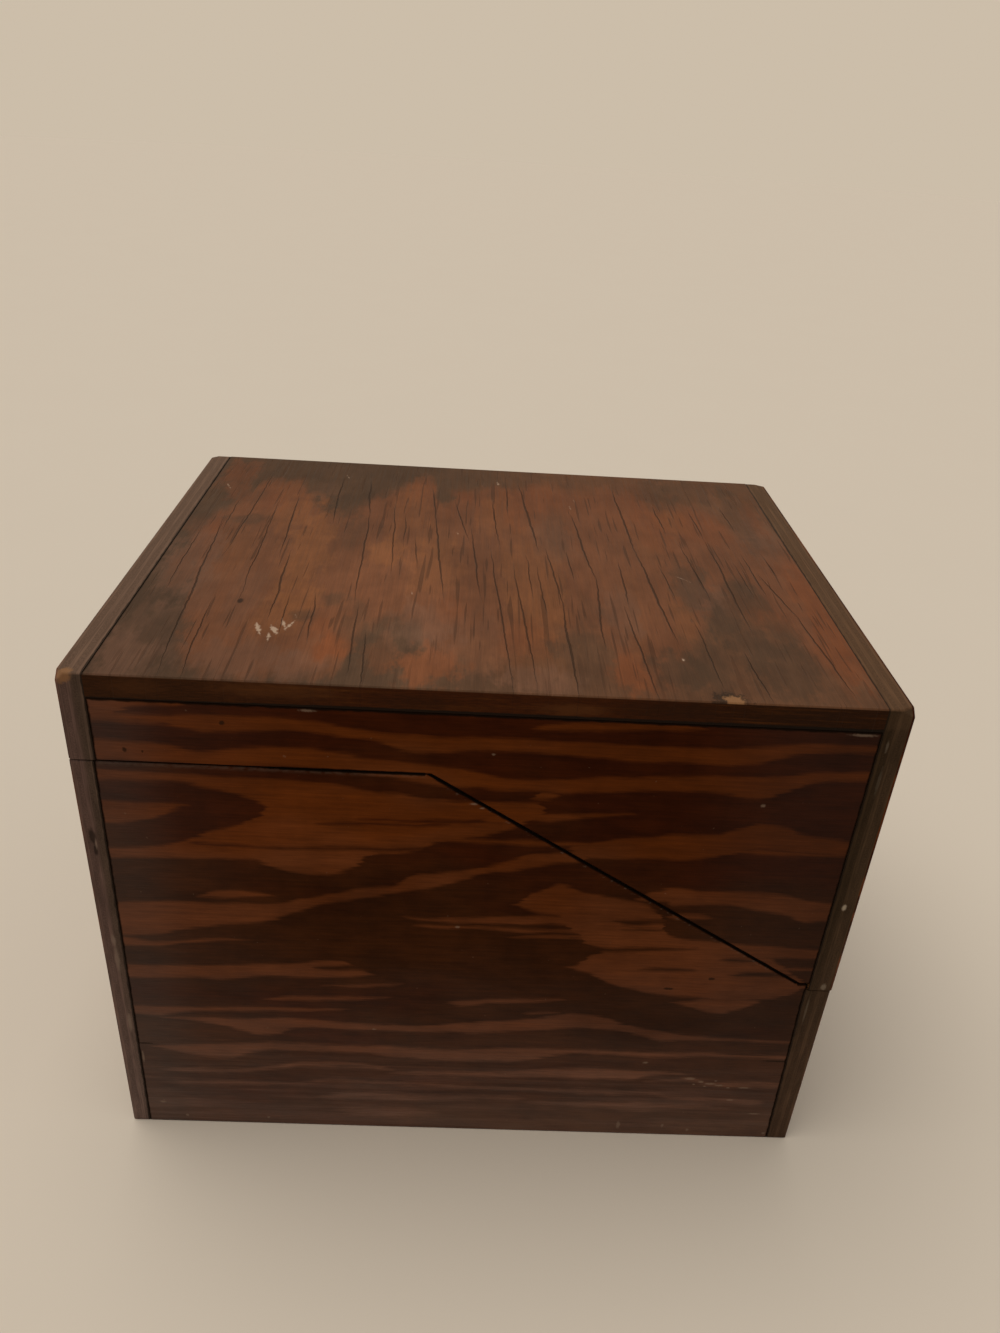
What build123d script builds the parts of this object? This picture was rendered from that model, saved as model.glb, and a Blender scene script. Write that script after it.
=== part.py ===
"""File box of dark stained plywood with a sloped lid, hinged along its back.

Frame: +Z up, the front faces -Y, the origin is the middle of the footprint on the floor.
Left and right are those of a person who stands in front of the box.
Millimetres throughout.
"""
from build123d import *
import math
import os

# Outside of the closed box
case_width = 209.0
case_depth = 268.0
case_height = 210.0

# Panels
side_panel_thickness = 8.6
top_panel_thickness = 8.6
bottom_panel_thickness = 8.6

# Front and back boards, which cover the ends of the side panels
lid_back_thickness = 8.6
lid_front_thickness = 9.1
lid_front_overhang = 0.5
base_back_top_thickness = 8.0
base_back_foot_thickness = 6.6
base_front_top_thickness = 9.8
base_front_foot_thickness = 8.2

# Saw cut that parts the lid from the base
split_height = 177.6
slope_start_depth = 115.4
front_ledge_height = 89.0
front_ledge_length = 3.3
front_board_drop = 3.0
back_gap = 0.5
slope_gap = 1.3
front_gap = 0.4

# Edges, eased and worn
eased_edge = 0.35
outer_edge_radius = 0.9
worn_rim_radius = 0.8
front_corner_wear_across = 3.2
front_corner_wear_inward = 5.5
front_corner_wear_down = 3.0
back_corner_wear = 3.4

# Butt hinges
hinge_end_margin = 26.5
hinge_length = 38.0
leaf_thickness = 1.0
leaf_reach = 6.2
leaf_gap = 0.3
knuckle_count = 5
knuckle_radius = 2.1
knuckle_standoff = 0.25
knuckle_side_clearance = 0.15
leaf_notch_clearance = 0.3
pin_radius = 1.0
pin_clearance = 0.05
pin_end_length = 0.6
pin_end_rounding = 0.35
mortise_clearance = 0.1

# Hinge screws
screws_per_leaf = 2
screw_spacing = 22.0
screw_inset = 3.15
screw_head_radius = 2.0
screw_head_height = 0.95
screw_shank_radius = 0.95
screw_length = 12.0
screw_point_length = 3.0
screw_slot_width = 0.45
screw_slot_depth = 0.4
screw_clearance = 0.03

# Brads through the front and back boards
brad_length = 25.0
brad_shank_radius = 0.6
brad_head_radius = 1.0
brad_head_thickness = 0.5
brad_point_length = 1.6
brad_set_depth = 0.3
brad_clearance = 0.03
brad_end_margin = 24.0
brads_per_panel_edge = 3
brad_side_margin = 42.5
base_back_brad_rows = 3
base_front_brad_rows = 2
lid_back_brad_rows = 1
lid_front_brad_rows = 3

# Planes that several pieces share
back_face = case_depth / 2
front_face = -case_depth / 2
lid_front_face = front_face - lid_front_overhang
side_face = case_width / 2
side_middle = side_face - side_panel_thickness / 2
top_panel_underside = case_height - top_panel_thickness
base_top = split_height - back_gap / 2
lid_bottom = split_height + back_gap / 2
lid_back_seam = back_face - lid_back_thickness
lid_front_seam = lid_front_face + lid_front_thickness
hinge_axis_y = back_face + knuckle_standoff + knuckle_radius
hinge_axis_z = split_height
front_board_joint_height = front_ledge_height - front_board_drop


def board_back_y(height):
    """Inner face of the base's back board, which thins towards its foot."""
    share = height / base_top
    thickness = base_back_foot_thickness + share * (base_back_top_thickness - base_back_foot_thickness)
    return back_face - thickness


def board_front_y(height):
    """Inner face of the base's front board, which thins towards its foot."""
    share = height / front_board_joint_height
    thickness = base_front_foot_thickness + share * (base_front_top_thickness - base_front_foot_thickness)
    return front_face + thickness


slope_start_y = back_face - slope_start_depth
slope_end_y = board_front_y(front_board_joint_height) + front_ledge_length
slope_angle = math.atan2(split_height - front_ledge_height, slope_start_y - slope_end_y)


def slope_y(height, side):
    """Y of the slope's edge at a height, where side is 1 for the lid's edge and -1 for the base's."""
    half_gap_height = slope_gap / 2 / math.cos(slope_angle)
    return slope_start_y - (split_height + side * half_gap_height - height) / math.tan(slope_angle)


def rows(low, high, count):
    """Heights of a row of brads, kept clear of both ends."""
    if count == 1:
        return [(low + high) / 2]
    margin = min(brad_end_margin, (high - low) / (count + 1))
    step = (high - low - 2 * margin) / (count - 1)
    return [low + margin + step * turn for turn in range(count)]


def spread(count, spacing):
    """Places of a row that is centred on the box."""
    return [(turn - (count - 1) / 2) * spacing for turn in range(count)]


def brad_sites(low, high, row_count, edge_row):
    """Where one board's brads go, across the box and up it: into both sides and into one panel's edge."""
    side_sites = [(x, z) for x in (-side_middle, side_middle) for z in rows(low, high, row_count)]
    spacing = (case_width - 2 * brad_side_margin) / (brads_per_panel_edge - 1)
    return side_sites + [(x, edge_row) for x in spread(brads_per_panel_edge, spacing)]


base_ledge = front_ledge_height - front_gap / 2
lid_ledge = front_ledge_height + front_gap / 2
base_front_top = front_board_joint_height - front_gap / 2
lid_front_bottom = front_board_joint_height + front_gap / 2

bottom_edge_row = bottom_panel_thickness / 2
top_edge_row = case_height - top_panel_thickness / 2
base_back_sites = brad_sites(bottom_panel_thickness, base_top, base_back_brad_rows, bottom_edge_row)
base_front_sites = brad_sites(bottom_panel_thickness, base_ledge, base_front_brad_rows, bottom_edge_row)
lid_back_sites = brad_sites(lid_bottom, top_panel_underside, lid_back_brad_rows, top_edge_row)
lid_front_sites = brad_sites(lid_ledge, top_panel_underside, lid_front_brad_rows, top_edge_row)

hinge_centre = side_face - hinge_end_margin - hinge_length / 2
hinge_sides = {"left": -hinge_centre, "right": hinge_centre}
screw_columns = [centre + place for centre in hinge_sides.values()
                 for place in spread(screws_per_leaf, screw_spacing)]


def board_brads(sites, face_y, inward, clearance=0.0):
    """Brads driven square through one board; with a clearance, the holes that take them."""
    shank = brad_shank_radius + clearance
    head = brad_head_radius + clearance
    head_top = brad_set_depth - clearance
    if clearance:
        head_top = -brad_head_thickness
    with BuildPart() as brads:
        for x, z in sites:
            lengthwise = Plane(origin=(x, face_y, z), x_dir=(0, inward, 0), z_dir=(1, 0, 0))
            with BuildSketch(lengthwise) as half:
                with BuildLine():
                    Polyline(
                        (head_top, 0),
                        (head_top, head),
                        (brad_set_depth + brad_head_thickness + clearance, head),
                        (brad_set_depth + brad_head_thickness + clearance, shank),
                        (brad_set_depth + brad_length - brad_point_length, shank),
                        (brad_set_depth + brad_length + clearance, 0),
                        close=True,
                    )
                make_face()
            revolve(half.sketch, axis=Axis(lengthwise.origin, lengthwise.x_dir))
    return brads


def leaf_screws(upward, clearance=0.0):
    """Countersunk screws of both leaves on one side of the split; with a clearance, their holes."""
    shank = screw_shank_radius + clearance
    head = screw_head_radius + clearance
    seat_z = hinge_axis_z + upward * leaf_gap / 2
    seat_y = back_face - screw_inset
    with BuildPart() as screws:
        for x in screw_columns:
            lengthwise = Plane(origin=(x, seat_y, seat_z), x_dir=(0, 0, upward), z_dir=(1, 0, 0))
            with BuildSketch(lengthwise) as half:
                with BuildLine():
                    Polyline(
                        (0, 0),
                        (0, head),
                        (screw_head_height, shank),
                        (screw_length - screw_point_length, shank),
                        (screw_length + clearance, 0),
                        close=True,
                    )
                make_face()
            revolve(half.sketch, axis=Axis(lengthwise.origin, lengthwise.x_dir))
            if not clearance:
                with Locations((x, seat_y, seat_z)):
                    Box(2 * screw_head_radius, screw_slot_width, 2 * screw_slot_depth, mode=Mode.SUBTRACT)
    return screws


def leaf_mortises(upward):
    """Shallow beds for the leaves, cut into the edge of a back board from behind."""
    depth = leaf_thickness + leaf_gap / 2 - back_gap / 2
    edge_z = split_height + upward * back_gap / 2
    with BuildPart() as beds:
        for x in hinge_sides.values():
            with BuildSketch(Plane.XY.offset(edge_z)) as bed:
                with Locations((x, back_face - leaf_reach - mortise_clearance)):
                    Rectangle(hinge_length + 2 * mortise_clearance, 2 * leaf_reach,
                              align=(Align.CENTER, Align.MIN))
            extrude(bed.sketch, amount=upward * depth)
            extrude(bed.sketch, amount=-upward * back_gap)
    return beds


def knuckle_span(turn):
    """Ends of one knuckle, measured along the hinge from its left end."""
    pitch = hinge_length / knuckle_count
    return turn * pitch + knuckle_side_clearance / 2, (turn + 1) * pitch - knuckle_side_clearance / 2


def hinge_leaf(centre_x, upward):
    """One leaf with its knuckles; the lower leaf has the odd ones, at both ends."""
    own_turns = range(0 if upward < 0 else 1, knuckle_count, 2)
    other_turns = range(1 if upward < 0 else 0, knuckle_count, 2)
    left_end = centre_x - hinge_length / 2
    plate_near = hinge_axis_z + upward * leaf_gap / 2
    plate_far = plate_near + upward * leaf_thickness
    with BuildPart() as leaf:
        with BuildSketch(Plane.YZ.offset(left_end)) as plate:
            with BuildLine():
                Polyline(
                    (back_face - leaf_reach, plate_near),
                    (hinge_axis_y, plate_near),
                    (hinge_axis_y, plate_far),
                    (back_face - leaf_reach, plate_far),
                    close=True,
                )
            make_face()
        extrude(plate.sketch, amount=hinge_length)
        for turn in other_turns:
            start, end = knuckle_span(turn)
            margin = knuckle_side_clearance
            with BuildSketch(Plane.YZ.offset(left_end + start - margin)) as notch:
                with Locations((hinge_axis_y, hinge_axis_z)):
                    Circle(knuckle_radius + leaf_notch_clearance)
            extrude(notch.sketch, amount=end - start + 2 * margin, mode=Mode.SUBTRACT)
        for turn in own_turns:
            start, end = knuckle_span(turn)
            with BuildSketch(Plane.YZ.offset(left_end + start)) as knuckle:
                with Locations((hinge_axis_y, hinge_axis_z)):
                    Circle(knuckle_radius)
            extrude(knuckle.sketch, amount=end - start)
        with BuildSketch(Plane.YZ.offset(left_end)) as bore:
            with Locations((hinge_axis_y, hinge_axis_z)):
                Circle(pin_radius + pin_clearance)
        extrude(bore.sketch, amount=hinge_length, mode=Mode.SUBTRACT)
        add(case_screw_holes.part if upward < 0 else lid_screw_holes.part, mode=Mode.SUBTRACT)
    return leaf


def hinge_pin(centre_x):
    """Pin of one hinge, with a low rounded end at each side."""
    end = hinge_length / 2 + pin_end_length
    with BuildPart() as pin:
        with BuildSketch(Plane.YZ.offset(centre_x - end)) as section:
            with Locations((hinge_axis_y, hinge_axis_z)):
                Circle(pin_radius)
        extrude(section.sketch, amount=2 * end)
        fillet(pin.edges().filter_by(GeomType.CIRCLE), pin_end_rounding)
    return pin


base_back_holes = board_brads(base_back_sites, back_face, -1, brad_clearance)
base_front_holes = board_brads(base_front_sites, front_face, 1, brad_clearance)
lid_back_holes = board_brads(lid_back_sites, back_face, -1, brad_clearance)
lid_front_holes = board_brads(lid_front_sites, lid_front_face, 1, brad_clearance)
case_screw_holes = leaf_screws(-1, screw_clearance)
lid_screw_holes = leaf_screws(1, screw_clearance)
case_mortises = leaf_mortises(-1)
lid_mortises = leaf_mortises(1)

# Base: the back board, full width, from the floor to the level saw cut
with BuildPart() as base_back_board:
    with BuildSketch(Plane.YZ.offset(-side_face)) as section:
        with BuildLine():
            Polyline(
                (back_face, 0),
                (back_face, base_top),
                (board_back_y(base_top), base_top),
                (board_back_y(0), 0),
                close=True,
            )
        make_face()
    extrude(amount=case_width)
    fillet(base_back_board.edges().group_by(Axis.Y)[-1].filter_by(Axis.Z), outer_edge_radius)
    chamfer(base_back_board.edges().filter_by(Axis.X), eased_edge)
    add(case_mortises.part, mode=Mode.SUBTRACT)
    add(case_screw_holes.part, mode=Mode.SUBTRACT)
    add(base_back_holes.part, mode=Mode.SUBTRACT)

# Base: the front board, cut off low so that the hand reaches in
with BuildPart() as base_front_board:
    with BuildSketch(Plane.YZ.offset(-side_face)) as section:
        with BuildLine():
            Polyline(
                (front_face, 0),
                (front_face, base_front_top),
                (board_front_y(base_front_top), base_front_top),
                (board_front_y(0), 0),
                close=True,
            )
        make_face()
    extrude(amount=case_width)
    fillet(base_front_board.edges().group_by(Axis.Y)[0].filter_by(Axis.Z), outer_edge_radius)
    chamfer(base_front_board.edges().filter_by(Axis.X), eased_edge)
    add(base_front_holes.part, mode=Mode.SUBTRACT)


def base_side(outer_x, inward):
    """Side panel of the base, cut level at the back and sloping down to a short ledge."""
    with BuildPart() as panel:
        with BuildSketch(Plane.YZ.offset(outer_x)) as outline:
            with BuildLine():
                Polyline(
                    (board_back_y(0), 0),
                    (board_back_y(base_top), base_top),
                    (slope_y(base_top, -1), base_top),
                    (slope_y(base_ledge, -1), base_ledge),
                    (board_front_y(front_board_joint_height), base_ledge),
                    (board_front_y(front_board_joint_height), front_board_joint_height),
                    (board_front_y(0), 0),
                    close=True,
                )
            make_face()
        extrude(amount=inward * side_panel_thickness)
        outer_face = panel.faces().sort_by(Axis.X)[0 if inward > 0 else -1]
        level_edge = outer_face.edges().filter_by(Axis.Y).sort_by(Axis.Z)[-1]
        chamfer(outer_face.edges() - ShapeList([level_edge]), eased_edge)
        outer_face = panel.faces().sort_by(Axis.X)[0 if inward > 0 else -1]
        level_edge = outer_face.edges().filter_by(Axis.Y).sort_by(Axis.Z)[-1]
        fillet(level_edge, worn_rim_radius)
        add(base_back_holes.part, mode=Mode.SUBTRACT)
        add(base_front_holes.part, mode=Mode.SUBTRACT)
    return panel


base_left_side = base_side(-side_face, 1)
base_right_side = base_side(side_face, -1)

# Base: the bottom panel, let in between the four walls
with BuildPart() as bottom_panel:
    with BuildSketch(Plane.YZ.offset(-side_face + side_panel_thickness)) as section:
        with BuildLine():
            Polyline(
                (board_back_y(0), 0),
                (board_back_y(bottom_panel_thickness), bottom_panel_thickness),
                (board_front_y(bottom_panel_thickness), bottom_panel_thickness),
                (board_front_y(0), 0),
                close=True,
            )
        make_face()
    extrude(amount=case_width - 2 * side_panel_thickness)
    chamfer(bottom_panel.faces().sort_by(Axis.Z)[0].edges(), eased_edge)
    add(base_back_holes.part, mode=Mode.SUBTRACT)
    add(base_front_holes.part, mode=Mode.SUBTRACT)


def wear_board(board, outer_y, outward_y, across, inward, down):
    """Cuts the two sharp top corners off a lid board and rounds its outer edges, as handling does."""
    for outward_x in (-1, 1):
        corner = Vector(outward_x * side_face, outer_y, case_height)
        normal = Vector(outward_x / across, outward_y / inward, 1 / down)
        split(bisect_by=Plane(origin=corner - Vector(0, 0, down), z_dir=normal), keep=Keep.BOTTOM)
    square_edges = [edge for axis in (Axis.X, Axis.Y, Axis.Z) for edge in board.edges().filter_by(axis)]
    cut_edges = board.edges() - ShapeList(square_edges)
    outer_edges = board.edges().filter_by_position(Axis.Y, outer_y, outer_y)
    top_ends = board.edges().filter_by(Axis.Y).group_by(Axis.Z)[-1]
    long_edges = outer_edges.filter_by(Axis.X) + outer_edges.filter_by(Axis.Z)
    fillet(long_edges + top_ends + cut_edges, outer_edge_radius)


# Lid: the back board, a low strip above the hinges
with BuildPart() as lid_back_board:
    with BuildSketch(Plane.YZ.offset(-side_face)) as section:
        with BuildLine():
            Polyline(
                (back_face, lid_bottom),
                (back_face, case_height),
                (lid_back_seam, case_height),
                (lid_back_seam, lid_bottom),
                close=True,
            )
        make_face()
    extrude(amount=case_width)
    wear_board(lid_back_board, back_face, 1, back_corner_wear, back_corner_wear, back_corner_wear)
    add(lid_mortises.part, mode=Mode.SUBTRACT)
    add(lid_screw_holes.part, mode=Mode.SUBTRACT)
    add(lid_back_holes.part, mode=Mode.SUBTRACT)

# Lid: the deep front board
with BuildPart() as lid_front_board:
    with BuildSketch(Plane.YZ.offset(-side_face)) as section:
        with BuildLine():
            Polyline(
                (lid_front_face, lid_front_bottom),
                (lid_front_face, case_height),
                (lid_front_seam, case_height),
                (lid_front_seam, lid_front_bottom),
                close=True,
            )
        make_face()
    extrude(amount=case_width)
    wear_board(lid_front_board, lid_front_face, -1,
               front_corner_wear_across, front_corner_wear_inward, front_corner_wear_down)
    add(lid_front_holes.part, mode=Mode.SUBTRACT)


def lid_side(outer_x, inward):
    """Side panel of the lid, under the top panel: narrow at the back, deep at the front."""
    with BuildPart() as panel:
        with BuildSketch(Plane.YZ.offset(outer_x)) as outline:
            with BuildLine():
                Polyline(
                    (lid_back_seam, lid_bottom),
                    (lid_back_seam, top_panel_underside),
                    (lid_front_seam, top_panel_underside),
                    (lid_front_seam, lid_ledge),
                    (slope_y(lid_ledge, 1), lid_ledge),
                    (slope_y(lid_bottom, 1), lid_bottom),
                    close=True,
                )
            make_face()
        extrude(amount=inward * side_panel_thickness)
        chamfer(panel.faces().sort_by(Axis.X)[0 if inward > 0 else -1].edges(), eased_edge)
        add(lid_back_holes.part, mode=Mode.SUBTRACT)
        add(lid_front_holes.part, mode=Mode.SUBTRACT)
    return panel


lid_left_side = lid_side(-side_face, 1)
lid_right_side = lid_side(side_face, -1)

# Lid: the top panel, which lies on the side panels between the two boards
with BuildPart() as lid_top_panel:
    with BuildSketch(Plane.YZ.offset(-side_face)) as section:
        with BuildLine():
            Polyline(
                (lid_back_seam, top_panel_underside),
                (lid_back_seam, case_height),
                (lid_front_seam, case_height),
                (lid_front_seam, top_panel_underside),
                close=True,
            )
        make_face()
    extrude(amount=case_width)
    top_edges = lid_top_panel.faces().sort_by(Axis.Z)[-1].edges()
    chamfer(top_edges.sort_by(Axis.Y)[1:], eased_edge)
    add(lid_back_holes.part, mode=Mode.SUBTRACT)
    add(lid_front_holes.part, mode=Mode.SUBTRACT)

base_back_brads = board_brads(base_back_sites, back_face, -1)
base_front_brads = board_brads(base_front_sites, front_face, 1)
lid_back_brads = board_brads(lid_back_sites, back_face, -1)
lid_front_brads = board_brads(lid_front_sites, lid_front_face, 1)
case_leaf_screws = leaf_screws(-1)
lid_leaf_screws = leaf_screws(1)

pieces = {
    "base_back_board": base_back_board,
    "base_front_board": base_front_board,
    "base_left_side": base_left_side,
    "base_right_side": base_right_side,
    "bottom_panel": bottom_panel,
    "lid_back_board": lid_back_board,
    "lid_front_board": lid_front_board,
    "lid_left_side": lid_left_side,
    "lid_right_side": lid_right_side,
    "lid_top_panel": lid_top_panel,
    "base_back_brads": base_back_brads,
    "base_front_brads": base_front_brads,
    "lid_back_brads": lid_back_brads,
    "lid_front_brads": lid_front_brads,
    "case_leaf_screws": case_leaf_screws,
    "lid_leaf_screws": lid_leaf_screws,
}
for side, hinge_x in hinge_sides.items():
    pieces[side + "_hinge_case_leaf"] = hinge_leaf(hinge_x, -1)
    pieces[side + "_hinge_lid_leaf"] = hinge_leaf(hinge_x, 1)
    pieces[side + "_hinge_pin"] = hinge_pin(hinge_x)

os.makedirs("parts", exist_ok=True)
for name, piece in pieces.items():
    piece.part.label = name
    export_step(piece.part, "parts/" + name + ".step")
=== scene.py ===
"""Finishes of the file box: stained fir plywood, brass hinges, steel brads, and a plain studio.

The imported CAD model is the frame. Its nodes keep their places and shapes, and get procedural finishes.
Coordinates inside the finishes are in millimetres on the closed box:
across, from the left side face to the right one; back, from the back face towards the front; height, from
the floor up. Left and right are those of a person who stands in front of the box.
"""

import math

import bpy
import numpy as np
from mathutils import Matrix, Vector

bl_info = {
    "name": "File box finishes",
    "version": (1, 0, 0),
    "blender": (4, 5, 0),
    "location": "3D View > Sidebar > File Box",
    "description": "Stained plywood, hinges, brads and studio for the file box",
    "category": "Object",
}

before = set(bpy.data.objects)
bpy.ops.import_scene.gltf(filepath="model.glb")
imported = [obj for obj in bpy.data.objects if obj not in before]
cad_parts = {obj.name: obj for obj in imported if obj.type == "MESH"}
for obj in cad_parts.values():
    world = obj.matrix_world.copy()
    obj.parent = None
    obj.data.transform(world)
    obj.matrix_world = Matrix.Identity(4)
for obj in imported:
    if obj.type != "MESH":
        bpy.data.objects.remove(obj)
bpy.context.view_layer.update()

# Sizes of the closed box, in millimetres
CASE_WIDTH = 209.0
CASE_DEPTH = 268.0
CASE_HEIGHT = 210.0
PANEL_THICKNESS = 8.6
PLY_COUNT = 5
SPLIT_HEIGHT = 177.6
SLOPE_START = (115.4, 177.6)
SLOPE_END = (255.2, 89.0)
BACK_SEAM = 8.6
FRONT_SEAM = 259.4
TOP_SEAM = 201.4
SLOPE_RISE = 0.634
SLOPE_COSINE = 0.845

# Seams between the end boards and the sides, as distances from the back face. In the base they lean,
# as its boards thin a little towards the floor; in the lid they stand a step further in or out.
BACK_SEAM_FOOT = 6.6
BACK_SEAM_LEAN = 0.0079
BACK_SEAM_LIMIT = 8.0
BACK_LID_STEP = 0.6
FRONT_SEAM_FOOT = 259.8
FRONT_SEAM_LEAN = 0.0186
FRONT_SEAM_HEIGHT = 86.0
FRONT_LID_STEP = 1.2

MILLIMETRES = 1000.0
FACE_SKIN = 0.55
SKIN_BLEND = 0.1

# Factors that dull the dark wood to olive and the light wood to brick, the tones that both fade to at the
# foot, and the tone of a ply edge deep below the face
OLIVE_SHIFT = (1.1, 1.6, 2.6)
BRICK_SHIFT = (1.14, 1.4, 3.2)
FOOT_DARK_WOOD = (0.070, 0.0200, 0.0062)
FOOT_LIGHT_WOOD = (0.094, 0.0330, 0.0130)
SAWN_PLY = (0.110, 0.055, 0.027)

# Dark tones of seams, gaps, dents and open grain
SEAM_DARK = (0.012, 0.007, 0.004)
SAW_DARK = (0.007, 0.004, 0.002)
GAP_DARK = (0.008, 0.005, 0.003)
CHECK_DARK = (0.026, 0.0130, 0.0070)
HAIR_DARK = (0.046, 0.020, 0.010)
GOUGE_DARK = (0.020, 0.012, 0.008)
NAIL_DARK = (0.014, 0.008, 0.004)
KNOT_DARK = (0.016, 0.009, 0.006)
CHIP_RIM = (0.030, 0.017, 0.010)

# Pale tones of rubbed and bare wood; the rim's tone also holds a painted highlight, and the foot's a
# painted bounce light
CHIP_BARE = (0.300, 0.145, 0.062)
CORNER_BARE = (0.290, 0.140, 0.058)
CORNER_RUBBED = (0.200, 0.110, 0.055)
RIM_WEAR_AND_HIGHLIGHT = (0.130, 0.090, 0.065)
LIP_RUBBED = (0.150, 0.100, 0.070)
END_RUBBED = (0.300, 0.215, 0.160)
FOOT_WEAR_AND_BOUNCE_LIGHT = (0.210, 0.108, 0.066)
SCUFF_PALE = (0.520, 0.370, 0.260)
FLECK_PALE = (0.420, 0.340, 0.250)
SPECK_PALE = (0.330, 0.235, 0.165)
GRIT_PALE = (0.300, 0.200, 0.130)

# Ends of the boards: outer plies, inner plies, near the floor, and the upper edge
FRONT_END_TONES = (
    (0.058, 0.0330, 0.0170), (0.036, 0.0200, 0.0090), (0.084, 0.0450, 0.0260), (0.104, 0.0540, 0.0270),
)
BACK_END_TONES = (
    (0.118, 0.0690, 0.0550), (0.088, 0.0550, 0.0380), (0.165, 0.1060, 0.0860), (0.136, 0.0790, 0.0510),
)

# Top panel: its handled part towards the front, a tint towards the right, and the tones of its edge strip
# near the back, in the middle and near the front
TOP_UMBER = (0.116, 0.0510, 0.0245)
TOP_RIGHT_TINT = (0.98, 0.86, 0.72)
STRIP_TONES = ((0.041, 0.0130, 0.0030), (0.052, 0.0120, 0.0016), (0.029, 0.0082, 0.0013))
STRIP_STREAK = (0.092, 0.0270, 0.0038)
STRIP_LIGHT_SMEAR = (0.100, 0.0330, 0.0080)
STRIP_DARK_SMEAR = (0.020, 0.0070, 0.0020)

BARE_DARK_WOOD = (0.260, 0.130, 0.060)
BARE_LIGHT_WOOD = (0.380, 0.230, 0.120)
BRAD_RUST = (0.06, 0.035, 0.02)
WHITE = (1.0, 1.0, 1.0)

# Studio. The camera's line of sight and its right were fitted to the box's corners in the photograph.
CAMERA_FORWARD = (0.8687, -0.0375, -0.4940)
CAMERA_RIGHT = (-0.0099, -0.9983, 0.0584)
SENSOR_WIDTH = 36.0
NEAREST_SEEN = 0.01
LAMP_TINT = (1.0, 0.96, 0.90)
SKY_TINT = (1.0, 0.97, 0.92)
FLOOR_RINGS = 24
FLOOR_SPOKES = 64
FLOOR_SHADE = 0.985
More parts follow.
